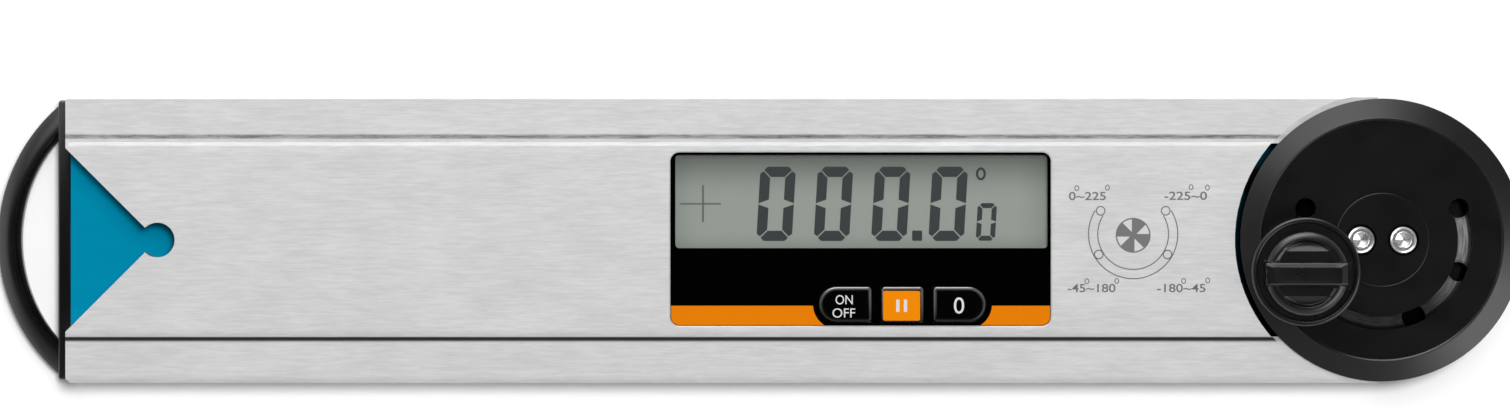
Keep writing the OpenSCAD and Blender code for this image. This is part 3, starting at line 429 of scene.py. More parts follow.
def cast(name, colour, rough):
    """Cast metal: a fine pebbled skin with marks that the disc's slot has worn into it around the hinge.
    Painted shade darkens it down in its holes and under the slot's outer wall, and painted light runs
    from dark on the knob's side to bright towards the slot's right end."""
    made, f = material(name)
    pebbles = f.noise((0.5, 0.5, 0.5), 4.0, 0.6)
    spots = f.noise((4, 4, 4), 2.0).ramp(0.4, 0.7)
    # painted shade down in the hub's holes
    deep = 0.06 + 0.94 * f.axis("Z").ramp(*(HUB_TOP - depth for depth in HOLE_DEPTHS))
    # painted light along the slot: dark on the knob's side, bright towards its right end
    slot_light = 0.07 + 0.48 * (f.axis("X") + SLOT_LIGHT_SLANT * f.axis("Y")).ramp(*SLOT_LIGHT_REACH)
    r = f.from_hinge()
    around = f.node("ShaderNodeMath", {"operation": "ARCTAN2"}, [f.axis("Y"), f.axis("X")])
    along = f.node("ShaderNodeCombineXYZ", {}, {"X": r * MARK_FINE[0], "Y": around * MARK_FINE[1]})
    marks = f.node("ShaderNodeTexNoise", {}, {"Vector": along, "Scale": 1.0, "Detail": 3.0})
    # the marks, times painted shade where the slot's outer wall keeps the light off the hub
    worn = (0.6 + 0.8 * marks.ramp(0.3, 0.7)) * (1 - 0.85 * r.ramp(*WALL_SHADE))
    close(f, f.node("ShaderNodeBsdfPrincipled", {}, {
        "Base Color": f.scaled(f.blend(spots, colour, times(colour, 0.8)), deep * slot_light * worn),
        "Metallic": 0.5,
        "Roughness": rough + 0.15 * (pebbles - 0.5),
        "Normal": f.bump(pebbles, 0.05, 0.5),
    }))
    return made


def polished(name, colour, rough, metallic=1.0):
    """Machined metal: faint turning marks and a few finger smears."""
    made, f = material(name)
    marks = f.noise((0.15, 0.15, 2.5), 3.0)
    smears = f.noise((3, 1.5, 3), 2.0).ramp(0.4, 0.8)
    close(f, f.node("ShaderNodeBsdfPrincipled", {}, {
        "Base Color": f.blend(marks * 0.3, colour, times(colour, 0.85)),
        "Metallic": metallic,
        "Roughness": rough + 0.1 * smears + 0.06 * (marks - 0.5),
        "Normal": f.bump(marks, 0.002, 0.4),
    }))
    return made


def moulded(name, colour, worn, rough, grain, depth, specular=0.5):
    """Moulded plastic: spark-eroded grain, soft flow clouds and slightly polished patches."""
    made, f = material(name)
    pits = f.noise((grain, grain, grain), 3.0, 0.55)
    clouds = f.noise((14, 9, 14), 2.0)
    patches = f.noise((6, 6, 6), 1.0).ramp(0.4, 0.8)
    close(f, f.node("ShaderNodeBsdfPrincipled", {}, {
        "Base Color": f.blend(clouds.ramp(0.35, 0.75) * 0.7 + pits * 0.3, colour, worn),
        "Roughness": rough + 0.08 * (pits - 0.5) - 0.03 * patches,
        "Specular IOR Level": specular,
        "Normal": f.bump(pits, depth, 0.5),
    }))
    return made


def glossy(name, colour, rough, specular, painted_highlight=0.0):
    """Smooth lacquered or printed plastic: a trace of orange peel and dust, and a painted edge highlight.
    """
    made, f = material(name)
    peel = f.noise((2.5, 2.5, 2.5), 2.0)
    dust = f.noise((0.4, 0.4, 0.4), 1.0).ramp(0.68, 0.78)
    face = f.blend(dust * 0.15, colour, times(colour, 1.6, 0.01))
    inputs = {"Roughness": rough + 0.05 * dust + 0.02 * peel, "Specular IOR Level": specular,
              "Normal": f.bump(peel, 0.004, 0.3)}
    if painted_highlight:
        # the edge attribute paints a highlight: a grey, metallic colour along the rounded edges
        edge = f.node("ShaderNodeAttribute", {"attribute_name": "edge"}, output="Fac")
        inputs["Metallic"] = edge
        face = f.blend(edge, face, grey(painted_highlight))
    inputs["Base Color"] = face
    close(f, f.node("ShaderNodeBsdfPrincipled", {}, inputs))
    return made


# Shade that the window's rim throws on the screen from above, below, right and left: how dark it is, and
# between which distances inside the rim it fades.
SCREEN_SHADES = ((0.76, -3.61, 9.5), (0.16, -0.4, 3.0), (0.14, -0.5, 7.0), (0.1, -0.3, 5.0))


def screen_finish():
    """Reflective screen: greenish grey with a fine dot grain; its colour is multiplied by one shade for
    each side of its rim, which is 1 minus the darkness times what is left to the end of its reach."""
    made, f = material("screen_face")
    x, y = f.axis("X"), f.axis("Y")
    inside = (lens_high[1] - y, y - lens_low[1], lens_high[0] - x, x - lens_low[0])
    shade = 1.0
    for distance, (dark, start, end) in zip(inside, SCREEN_SHADES):
        shade = shade * (1 - dark * (1 - distance.ramp(start, end)))
    grain = f.noise((0.25, 0.25, 0.25), 1.0)
    close(f, f.node("ShaderNodeBsdfPrincipled", {}, {
        "Base Color": f.blend(shade, tint(0.03, 0.031, 0.028), tint(0.318, 0.354, 0.32)),
        "Roughness": 0.5 + 0.1 * grain,
        "Specular IOR Level": 0.3,
        "Normal": f.bump(grain, 0.003, 0.3),
    }))
    return made


MIRROR_LEAST = 0.025
MIRROR_SLANT = 0.6


def clear_finish():
    """Clear plastic: light passes, and the mirror's share grows with the fourth power of the slant."""
    made, f = material("clear_plastic")
    smears = f.noise((6, 3, 6), 2.0)
    mirror = f.node("ShaderNodeBsdfGlossy", {}, {"Color": grey(1.0), "Roughness": 0.03 + 0.05 * smears})
    through = f.node("ShaderNodeBsdfTransparent", {}, {"Color": grey(0.98)})
    slant = f.node("ShaderNodeLayerWeight", {}, {"Blend": 0.5}, output="Facing")
    squared = slant * slant
    share = MIRROR_LEAST + MIRROR_SLANT * squared * squared
    close(f, f.node("ShaderNodeMixShader", {}, {0: share, 1: through, 2: mirror}))
    return made


def board_finish():
    """Circuit board: green mask with lighter tracks."""
    made, f = material("board_mask")
    lines = f.node("ShaderNodeTexBrick", {}, {
        "Vector": f.place((3, 3, 3)), "Scale": 1.0, "Mortar Size": 0.06,
        "Color1": grey(0.0), "Color2": grey(0.15), "Mortar": grey(1.0),
    }, output="Fac")
    grain = f.noise((0.6, 0.6, 0.6), 2.0)
    close(f, f.node("ShaderNodeBsdfPrincipled", {}, {
        "Base Color": f.blend(lines * 0.7, tint(0.01, 0.09, 0.035), tint(0.09, 0.25, 0.1)),
        "Roughness": 0.35 + 0.15 * grain,
        "Normal": f.bump(lines, 0.03, 0.6),
    }))
    return made


# The finishes of this tool: colours, then roughness, and then what each kind of finish asks for.
ALUMINIUM = brushed("aluminium", grey(0.66), grey(0.80), 0.5, 0.35, 4.0, specular=0.3)
# The display arm's face gets painted shade and highlight lines from arm_shade.
FACE_ALUMINIUM = brushed("face_aluminium", grey(0.675), grey(0.815), 0.5, 0.35, 3.0, arm_shade, 0.3)
# The blue inlay gets a painted shade ring round the hinge.
BLUE = brushed("blue_anodised", tint(0.0, 0.22, 0.37), tint(0.0, 0.24, 0.39), 0.5, 0.0, 9.0, gap_shade, 0.02)
CAST = cast("cast_metal", tint(0.6, 0.6, 0.59), 0.42)
STEEL = polished("steel", tint(0.95, 0.95, 0.94), 0.2, 0.84)
BRONZE = polished("bronze", tint(0.55, 0.36, 0.16), 0.35)
GOLD = polished("gold_plate", tint(0.9, 0.68, 0.3), 0.25)
BLACK = moulded("black_plastic", grey(0.002), grey(0.0045), 0.32, 0.35, 0.012, 0.7)
KNOB_BLACK = moulded("knob_plastic", grey(0.003), grey(0.006), 0.3, 0.3, 0.01, 0.7)
GREY = moulded("grey_plastic", grey(0.08), grey(0.12), 0.5, 0.35, 0.02)
NYLON = moulded("nylon", tint(0.75, 0.72, 0.62), tint(0.8, 0.78, 0.7), 0.5, 0.5, 0.01)
PINK = moulded("contact_rubber", tint(0.55, 0.12, 0.2), tint(0.65, 0.18, 0.26), 0.6, 0.3, 0.01)
FILM = glossy("dark_film", grey(0.003), 0.3, 0.3)
GLOSS_BLACK = glossy("gloss_black", grey(0.0005), 0.07, 0.2)
# The keys' rounded edges get a painted grey highlight.
KEY_BLACK = glossy("key_black", grey(0.0008), 0.16, 0.3, 0.28)
ORANGE = glossy("orange_plastic", tint(0.72, 0.19, 0.0015), 0.35, 0.06)
KEY_ORANGE = glossy("key_orange", tint(0.80, 0.23, 0.0015), 0.35, 0.06)
WHITE_INK = glossy("white_ink", grey(0.66), 0.5, 0.3)
GREY_INK = glossy("grey_ink", grey(0.155), 0.6, 0.2)
DARK_INK = glossy("dark_ink", grey(0.165), 0.6, 0.2)
PALE_INK = glossy("pale_ink", grey(0.6), 0.6, 0.2)
SEGMENT = glossy("screen_segment", tint(0.048, 0.056, 0.058), 0.5, 0.2)
FAINT_SEGMENT = glossy("faint_segment", tint(0.135, 0.15, 0.14), 0.5, 0.2)
SCREEN = screen_finish()
CLEAR = clear_finish()
BOARD = board_finish()

finish_of = {
    "base_arm": ALUMINIUM, "display_arm": FACE_ALUMINIUM, "blue_inlay": BLUE, "end_cap": BLACK,
    "base_hub": CAST, "display_hub": CAST, "axle": STEEL, "thrust_washer": NYLON,
    "encoder_rotor": BOARD, "encoder_stator": BOARD, "circuit_board": BOARD,
    "hinge_disc": BLACK, "pivot_cap": BLACK, "friction_washer": BRONZE, "sensor_cable": FILM,
    "notch_block": GREY, "rail_plugs": GREY, "front_plate": GLOSS_BLACK, "orange_band": ORANGE,
    "button_surround": GLOSS_BLACK, "screen_window": CLEAR, "screen_glass": SCREEN,
    "contact_strips": PINK, "board_chips": BLACK, "key_switches": BLACK, "module_tray": GREY,
    "coin_cell": STEEL, "battery_contacts": GOLD, "battery_cover": BLACK,
    "power_button": KEY_BLACK, "hold_button": KEY_ORANGE, "zero_button": KEY_BLACK,
    "lock_knob": KNOB_BLACK, "knob_stud": STEEL,
}
for node_name, node_object in nodes.items():
    chosen = finish_of.get(node_name, STEEL)
    node_object.data.materials.clear()
    node_object.data.materials.append(chosen)


# ---- Lock knob ----

KNOB_R = (knob_high[0] - knob_low[0]) / 2
KNOB_CENTRE = (knob_high + knob_low)[:2] / 2
KNOB_TALL = 8.0
KNOB_FOOT = knob_high[2] - KNOB_TALL   # the heights that follow count from it

# Skirt and the bead at its rim, and what lies under them.
BEAD_R = 0.62
BEAD_Z = 4.0
SKIRT = 3.9
FOOT_ROUND = 0.6
COLLAR_R = 3.6
COLLAR_BORE = 2.0
COLLAR_TALL = 0.6

# Crown: a shoulder that falls towards its rim, and the wall inside it.
CROWN_SHIFT = (0.1, -0.4)
CROWN_R = 8.8
CREST = 6.62
SHOULDER_R = 7.0
SHOULDER_FALL = 1.0
SHOULDER_POWER = 2.5
WALL_R = 6.35
WALL_W = 0.85

# Ledges on both sides of the grip bar, which dip beside it and slope off past a distance from it.
LEDGE_Z = 6.45
LEDGE_DIP = 0.22
DIP_FROM = 2.2
DIP_W = 0.9
LEDGE_HALF = 4.7
LEDGE_FALL = 0.55

# Grip bar: its upper and lower edge from the middle, their chamfers, its ends and the dish in its top.
BAR_TOP = 7.95
BAR_UPPER = 1.75
BAR_LOWER = 2.0
UPPER_CHAMFER = (0.95, 0.5)            # width, and fall over each millimetre
LOWER_CHAMFER = (0.4, 1.0)
BAR_LENGTH = 7.25
END_CHAMFER = (1.3, 0.22)
BAR_DISH = 0.16
DISH_ENDS = (5.5, 7.5)
WALL_FALL = 7.0


def smooth(value, low, high):
    """0 below low, 1 above high, and 3 t squared - 2 t cubed between."""
    t = np.clip((value - low) / (high - low), 0, 1)
    return t * t * (3 - 2 * t)


def edge_fall(past, width, fall):
    """Drop past an edge: a slope of that width, then a steep wall."""
    return fall * np.clip(past, 0, width) + WALL_FALL * np.clip(past - width, 0, None)


def knob_height(x, y):
    """Height of the knob's upper side over its foot. The skirt is flat with a round bead at its rim. The
    crown's shoulder falls with a power of the share of its width. Inside it lie two ledges, which dip with
    an exponential beside the bar and slope off to the crown's inner wall. Between them stands a grip bar,
    whose dished top drops off by the largest of its edges' falls."""
    r = np.hypot(x, y)
    bead = BEAD_Z + np.sqrt(np.clip(BEAD_R ** 2 - (r - KNOB_R + BEAD_R) ** 2, 0, None))
    skirt = np.where(r > KNOB_R - 2 * BEAD_R, bead, SKIRT)
    x, y = x - CROWN_SHIFT[0], y - CROWN_SHIFT[1]
    r = np.hypot(x, y)
    share = np.clip((r - SHOULDER_R) / (CROWN_R - SHOULDER_R), 0, 1)
    crown = CREST - SHOULDER_FALL * share ** SHOULDER_POWER
    across = np.abs(y)
    ledge = LEDGE_Z - LEDGE_DIP * np.exp((DIP_FROM - across) / DIP_W)
    ledge = ledge - LEDGE_FALL * np.clip(across - LEDGE_HALF, 0, None)
    inside = smooth(r, WALL_R, WALL_R + WALL_W)
    body = np.where(r < CROWN_R, ledge + (crown - ledge) * inside, skirt)
    upper = edge_fall(y - BAR_UPPER + UPPER_CHAMFER[0] / 2, *UPPER_CHAMFER)
    lower = edge_fall(-y - BAR_LOWER, *LOWER_CHAMFER)
    ends = edge_fall(np.abs(x) - BAR_LENGTH, *END_CHAMFER)
    dish = BAR_DISH * np.clip(1 - (y / BAR_LOWER) ** 2, 0, 1) * (1 - smooth(np.abs(x), *DISH_ENDS))
    bar = BAR_TOP - dish - np.maximum(np.maximum(upper, lower), ends)
    return np.maximum(body, bar)


def knob():
    """Polar grid over the knob's plan; the height of each point is knob_height, and the side and the
    underside follow as further rows with a rounded lower edge and a collar round the stud."""
    steps = 360
    turn = np.linspace(0, 2 * PI, steps, endpoint=False)
    r = np.concatenate([[0.02], np.linspace(0.1, KNOB_R - 0.01, 150), [KNOB_R]])[:, None]
    x, y = r * np.cos(turn), r * np.sin(turn)
    upper = np.stack([x, y, knob_height(x, y)], -1)
    third = FOOT_ROUND / 3
    side_r = [KNOB_R, KNOB_R, KNOB_R - third, KNOB_R - FOOT_ROUND, COLLAR_R, COLLAR_R, COLLAR_BORE]
    side_z = [BEAD_Z - third, FOOT_ROUND, third, 0.0, 0.0, -COLLAR_TALL, -COLLAR_TALL]
    grid = np.concatenate([upper, turned((0, 0), side_r, side_z, steps)])
    grid[..., :2] += KNOB_CENTRE
    grid[..., 2] += KNOB_FOOT
    points, faces = shell(grid[::-1], ends=(True, True))
    return piece("lock_knob_grip", points, faces, "knob", KNOB_BLACK, 50, ["lock_knob"])


# ---- End cap with its grip loop ----

BAR_OUT = 2.0                          # the bar's outer side past the display arm's end
BAR_T = 2.6
BAR_TALL = 12.0
BAR_CORNERS = [0.25, 0.45, 0.45, 0.25]
BAR_ENDS = [(0, 0.5), (0.15, 0.2), (0.5, 0)]   # distance from the bar's end, and how much slimmer there
LOOP_TOP = 10.5
LOOP_LOW = 1.5
LOOP_LEG = 8.2
LOOP_ROOT = 0.05                       # the opening's arc ends this far inside the bar
OPENING_REACH = 7.8
BAND_DROP = 2.2
# The groove and the lip: distance from the band, and drop under the loop's top.
LIP = [(0.06, 0.15), (0.12, 1.35), (0.5, 1.4), (0.9, 1.25), (1.0, 1.1), (1.15, 1.02), (1.4, 1.0),
       (1.65, 1.0), (1.88, 1.1), (2.0, 1.9)]


def chord_arc(half, tip_x, end_x, side):
    """x and y of an arc from (end_x, half) through (tip_x, 0) to (end_x, -half) at shares of its angle."""
    rise = end_x - tip_x
    radius = (half * half + rise * rise) / (2 * rise)
    angle = math.asin(half / radius) * side
    return tip_x + radius - radius * np.cos(angle), radius * np.sin(angle)


def end_cap():
    """The loop is a closed section carried from one end of the bar to the other, between the outer arc
    and the opening's arc. From the outside its height is a rounded band, whose drop grows with the square
    of the distance from the groove, then the groove and a lip of one width. The bar is a rounded section
    carried along Y."""
    tip_x, half = cap_low[0], cap_high[1]
    bar_x = arm_low[0] - BAR_OUT
    side = np.linspace(1, -1, 161)[:, None]
    outer = np.stack(chord_arc(half, tip_x, bar_x + BAR_T / 2, side), -1)
    inner = np.stack(chord_arc(half - LOOP_LEG, bar_x - OPENING_REACH, bar_x + LOOP_ROOT, side), -1)
    width = np.hypot(*(inner - outer).transpose(2, 0, 1))
    lip_at, lip_drop = np.array(LIP).T
    band_w = width - lip_at[-1]
    share = np.linspace(0, 1, 14)
    place = np.concatenate([share * band_w, band_w + lip_at], 1) / width
    drop = np.concatenate([BAND_DROP * (1 - share) ** 2, lip_drop])
    place = np.concatenate([place, place[:, ::-1]], 1)[..., None]
    z = np.concatenate([LOOP_TOP - drop, LOOP_LOW + drop[::-1]])
    flat = outer + (inner - outer) * place
    loop = np.concatenate([flat, np.broadcast_to(z[None, :, None], flat.shape[:2] + (1,))], -1)

    section, normals = rounded_outline(BAR_T, BAR_TALL, BAR_CORNERS, 8)
    ends = [(half - back, inset) for back, inset in BAR_ENDS]
    rows = []
    for y, inset in ends + [(-y, inset) for y, inset in ends[::-1]]:
        flat = section - inset * normals
        rows.append(np.column_stack([flat[:, 0] + bar_x + BAR_T / 2, np.full(len(flat), y),
                                     flat[:, 1] + BAR_TALL / 2]))
    points, faces = join([shell(loop, ends=(True, True)), shell(np.stack(rows), ends=(True, True))])
    return piece("grip_end_cap", points, faces, "base", BLACK, 40, ["end_cap"])


# ---- Screws of the disc ----

SOCKET_R = 1.42                        # from the socket's axis to its flats
# The head from its foot to the socket: distance inside its edge, and height from its top.
HEAD = [(0, -2.95), (0, -0.1), (0.06, -0.02), (0.14, 0), (0.48, -0.16), (0.54, -1.0), (1.0, -1.0),
        (1.05, -0.1), (1.15, -0.05)]
# The socket down to its pointed floor: share of its size, share of the hexagon, and height.
SOCKET = [(1.0, 1, -0.1), (0.97, 1, -0.35), (0.85, 0.5, -0.42), (0.4, 0.1, -0.66), (0.03, 0, -0.88)]


def socket_screws():
    """Each head is a turned shape with a ring groove, whose radius changes from a circle to a hexagon
    and back in the socket: radius = size * ((1 - share) * circle + share * hexagon at that angle)."""
    turn = np.linspace(0, 2 * PI, 96, endpoint=False)
    hexagon = SOCKET_R / np.cos((turn % (PI / 3)) - PI / 6)
    head_r = (screw_high[1] - screw_low[1]) / 2
    rows = [(np.full(len(turn), head_r - inset), drop) for inset, drop in HEAD]
    rows += [(size * ((1 - share) * SOCKET_R + share * hexagon), drop) for size, share, drop in SOCKET]
    parts = []
    for x in (screw_low[0] + head_r, screw_high[0] - head_r):
        grid = []
        for r, drop in rows:
            z = np.full(len(turn), screw_high[2] + drop)
            grid.append(np.stack([x + r * np.cos(turn), r * np.sin(turn), z], -1))
        parts.append(shell(np.stack(grid), ends=(True, True)))
    points, faces = join(parts)
    return piece("disc_screw_heads", points, faces, "base", STEEL, 35, ["disc_screws"])


# ---- Buttons ----

BUTTON_FLANGE = 0.6
KEY_ROOT = 0.2                         # the caps start this far below the front plate
KEY_ROUND = 0.5
KEY_CROWN = 0.05
KEY_SIDE_STOP = 0.1                    # the side stops this far below the rounded edge
KEY_SHOULDER = 0.3                     # the crown starts this far inside it
ROUND_END = 3.68
SQUARE_END = 0.75
LEAST_HIGHLIGHT = 0.05                      # painted highlight of a cap's lower edge, of 1 at its upper one
HIGHLIGHT_POWER = 2.5
INNER_HIGHLIGHT = 0.4                      # and of the rounded edge's innermost ring
FACE_SIZE = (7.83, 6.3)
FACE_CORNER = 0.45
FACE_SHIFT = (-0.17, -0.3)             # the orange face from its key's middle
FACE_SIDE = (0.5, 0.12)                # its side starts and ends this far under its top
FACE_ROUND = 0.1
PAUSE_BAR = (0.7, 2.6)
PAUSE_CORNER = 0.12
PAUSE_APART = 0.8                      # from the middle to each bar
INK = 0.02
# Lettering: left and right end and base from the key's middle, and height.
ON = (-2.05, 1.55, -0.02, 1.95)
OFF = (-2.7, 2.05, -2.8, 1.95)
NOUGHT = (-1.2, 0.95, -1.95, 3.4)


def centre_of(node):
    """Middle of a node's plan."""
    low, high = span(node)
    return ((low + high) / 2)[:2]


def key_grid(node, radii):
    """A key cap: its outline moved inwards along a quarter circle at the top, and slightly crowned. The
    second array is each point's painted highlight: on the rounded edge, growing with a power of its place
    in Y."""
    low, high = span(node)
    size = (high - low)[:2] - 2 * BUTTON_FLANGE
    top = high[2]
    outline = rounded_outline(size[0], size[1], radii)
    edge = quarter(KEY_ROUND, KEY_ROUND, top - KEY_CROWN, 7)
    profile = [(0, PLATE_FOOT - KEY_ROOT), (0, edge[0][1] - KEY_SIDE_STOP)] + edge
    profile.append((KEY_ROUND + KEY_SHOULDER, top - KEY_CROWN / 2))
    # each row's painted highlight: full on the rounded edge, less on its innermost ring
    worn = np.array([0, 0] + [1] * (len(edge) - 1) + [INNER_HIGHLIGHT, 0])
    grid = stacked(outline, centre_of(node), profile)
    share = (grid[..., 1] - low[1]) / (high - low)[1]
    return grid, (worn[:, None] * (LEAST_HIGHLIGHT + (1 - LEAST_HIGHLIGHT) * share ** HIGHLIGHT_POWER)).ravel()


def keys():
    """The three key caps; the middle one carries an orange face inside a black frame."""
    shapes = {
        "power": ("power_button", [SQUARE_END, ROUND_END, ROUND_END, SQUARE_END]),
        "hold": ("hold_button", [SQUARE_END] * 4),
        "zero": ("zero_button", [ROUND_END, SQUARE_END, SQUARE_END, ROUND_END]),
    }
    for body, (node, radii) in shapes.items():
        # worn holds each point's painted highlight
        grid, worn = key_grid(node, radii)
        points, faces = shell(grid, ends=(True, True))
        piece(body + "_key_cap", points, faces, body, KEY_BLACK, 60, [node], worn)
    top = span("hold_button")[1][2]
    outline = rounded_outline(*FACE_SIZE, [FACE_CORNER] * 4)
    profile = [(0, top - drop) for drop in FACE_SIDE] + quarter(FACE_ROUND, FACE_ROUND, top)
    grid = stacked(outline, centre_of("hold_button") + FACE_SHIFT, profile)
    points, faces = shell(grid, ends=(True, True))
    piece("hold_key_face", points, faces, "hold", KEY_ORANGE, 50)


def lettered(node, text, left, right, base, height):
    """Lettering on a key, placed from the key's middle."""
    x, y = centre_of(node)
    top = span(node)[1][2] - KEY_CROWN / 2
    return words(text, x + left, x + right, y + base, height, top, INK)


def key_marks():
    """Plain marks on the keys: on and off, two bars, and a nought."""
    points, faces = join([lettered("power_button", "ON", *ON), lettered("power_button", "OFF", *OFF)])
    piece("power_key_mark", points, faces, "power", WHITE_INK)
    top = span("hold_button")[1][2]
    outline = rounded_outline(*PAUSE_BAR, [PAUSE_CORNER] * 4, 4)
    bars = []
    for side in (-PAUSE_APART, PAUSE_APART):
        middle = centre_of("hold_button") + FACE_SHIFT + (side, 0)
        bars.append(shell(stacked(outline, middle, [(0, top - INK), (0, top + INK)]), ends=(True, True)))
    points, faces = join(bars)
    piece("hold_key_mark", points, faces, "hold", WHITE_INK)
    points, faces = lettered("zero_button", "0", *NOUGHT)
    piece("zero_key_mark", points, faces, "zero", WHITE_INK)


# ---- Screen ----

SCREEN_TOP = lens_low[2]
DIGIT_SINK = 0.05
DIGIT_LIFT = 0.1
CLEAR_GAP = 0.2
CLEAR_FOOT = 0.9                       # the clear plate starts this far over the screen
CLEAR_CORNER = 0.8
CLEAR_ROUND = 0.15
# A figure: width, height, width of its segments, cut at its corners, and gap between segments.
LARGE_FIGURE = (8.36, 15.6, 2.15, 1.45, 0.24)
SMALL_FIGURE = (4.5, 7.9, 1.05, 0.8, 0.18)
LEAN = 0.058
# Places on the screen, from the window's lower left corner.
LARGE_AT = (16.9, 1.4)
LARGE_PITCH = 12.05
SMALL_AT = (63.0, 1.45)
POINT_AT = (50.7, 2.5)
POINT_SIZE = (2.1, 2.15)
POINT_CORNER = 0.25
DEGREE_AT = (64.1, 15.5)
DEGREE_RING = (0.8, 1.12, 0.5)         # half its width, half its height and its line
CROSS_BARS = [(8.6, 0.34, 5.2, 9.2), (0.4, 7.8, 5.7, 9.25)]    # width, height, and middle of each
CROSS_CORNER = 0.05
CROSS_STEP = 0.01                      # the upright bar stands this much higher


def nought(left, base, width, height, line, corner, gap, lean):
    """Six segments of a nought: two level and four upright ones, with sloping joints; every corner
    (x, y) is leaned by lean * y. The lower half and the right half mirror the upper left."""
    k, t, g = corner, line, gap
    w, h = width - lean * height, height
    level = np.array([
        (k + g * 0.4, h), (w - k - g * 0.4, h), (w - k / 2 - g * 0.5, h - k / 2 + g * 0.2),
        (w - t - g * 0.5, h - t), (t + g * 0.5, h - t), (k / 2 + g * 0.5, h - k / 2 + g * 0.2)])
    upright = np.array([
        (0, h - k - g * 0.2), (0, h / 2 + g * 0.5), (t, h / 2 + t * 0.42), (t, h - t - g),
        (k / 2, h - k / 2 - g)])
    parts = []
    for shape in (level, upright):
        for flip_x in ((False,) if shape is level else (False, True)):
            for flip_y in (False, True):
                p = shape.copy()
                if flip_x:
                    p[:, 0] = w - p[:, 0]
                if flip_y:
                    p[:, 1] = h - p[:, 1]
                turn = (p[:, 0] * np.roll(p[:, 1], -1) - p[:, 1] * np.roll(p[:, 0], -1)).sum()
                p = p if turn > 0 else p[::-1]
                p[:, 0] += lean * p[:, 1]
                parts.append(p + (left, base))
    return parts


def screen():
    """The reading on the screen, four large noughts, a point, a small nought, a degree ring and a cross,
    and the clear plate over them."""
    x0, y0 = lens_low[:2]
    z0, z1 = SCREEN_TOP - DIGIT_SINK, SCREEN_TOP + DIGIT_LIFT
    shapes = []
    for k in range(4):
        shapes += nought(x0 + LARGE_AT[0] + LARGE_PITCH * k, y0 + LARGE_AT[1], *LARGE_FIGURE, LEAN)
    shapes += nought(x0 + SMALL_AT[0], y0 + SMALL_AT[1], *SMALL_FIGURE, LEAN)
    parts = [prism(p, z0, z1) for p in shapes]
    dot = rounded_outline(*POINT_SIZE, [POINT_CORNER] * 4, 5)
    at = (x0 + POINT_AT[0], y0 + POINT_AT[1])
    parts.append(shell(stacked(dot, at, [(0, z0), (0, z1)]), ends=(True, True)))
    parts.append(ring_line((x0 + DEGREE_AT[0], y0 + DEGREE_AT[1]), *DEGREE_RING, z0, z1))
    points, faces = join(parts)
    piece("screen_digits", points, faces, "display", SEGMENT, 20)
    cross = []
    for k, (width, height, x, y) in enumerate(CROSS_BARS):
        bar = rounded_outline(width, height, [CROSS_CORNER] * 4, 3)
        profile = [(0, z0), (0, z1 + k * CROSS_STEP)]
        cross.append(shell(stacked(bar, (x0 + x, y0 + y), profile), ends=(True, True)))
    points, faces = join(cross)
    piece("screen_cross", points, faces, "display", FAINT_SEGMENT, 20)

    size = (lens_high - lens_low)[:2] - 2 * CLEAR_GAP
    centre = ((lens_high + lens_low) / 2)[:2]
    outline = rounded_outline(size[0], size[1], [CLEAR_CORNER] * 4)
    top = lens_high[2]
    profile = [(0, SCREEN_TOP + CLEAR_FOOT), (0, top - CLEAR_ROUND)]
    profile += quarter(CLEAR_ROUND, CLEAR_ROUND, top)
    points, faces = shell(stacked(outline, centre, profile), ends=(True, True))
    piece("screen_clear_plate", points, faces, "display", CLEAR, 30, ["screen_window"])


# ---- Print on the display arm ----

PRINT_SINK = 0.01
PRINT_LIFT = 0.012
LINE = 0.24
DIAGRAM_AT = (-52.26, 1.24)
PATH_R = (9.37, 7.43)                  # outer and inner arc of the knob's path
PLACE_R = 8.4                          # the knob's four places lie on this circle
PLACES = (35.6, 144.4, -30.7, 210.7)
PLACE_CLEAR = 4                        # the path's arcs stop this far from the two upper places
PATH_ENDS = (PLACES[1] + PLACE_CLEAR, 360 + PLACES[0] - PLACE_CLEAR)
HOLE_R = 0.9
WHEEL_AT = (DIAGRAM_AT[0], DIAGRAM_AT[1] - 0.25)
WHEEL_R = 3.55
SECTOR_R = (0.75, WHEEL_R - 0.18)      # a pale sector's tip and rim
SECTOR = (4.5, 22.5, 40.5)             # its start, middle and end in each quarter
SECTOR_LIFT = 0.004
# Numbers beside the diagram: left and right end, and base.
RANGES = [("0~225", -65.75, -58.0, 8.34), ("-225~0", -45.7, -36.75, 8.4),
          ("-45~180", -66.0, -55.97, -10.98), ("-180~45", -47.25, -37.07, -10.98)]
NUMBER_TALL = 1.77
NUMBER_BOLD = 0.012
DEGREE_MARK = (0.4, 0.52, 0.2)         # half a degree ring's width and height, and its line
DEGREE_MARKS_AT = [(-64.09, 10.89), (-57.66, 11.0), (-40.1, 11.1), (-36.67, 11.0),
                   (-61.97, -8.67), (-55.7, -8.6), (-41.66, -8.6), (-36.6, -8.5)]


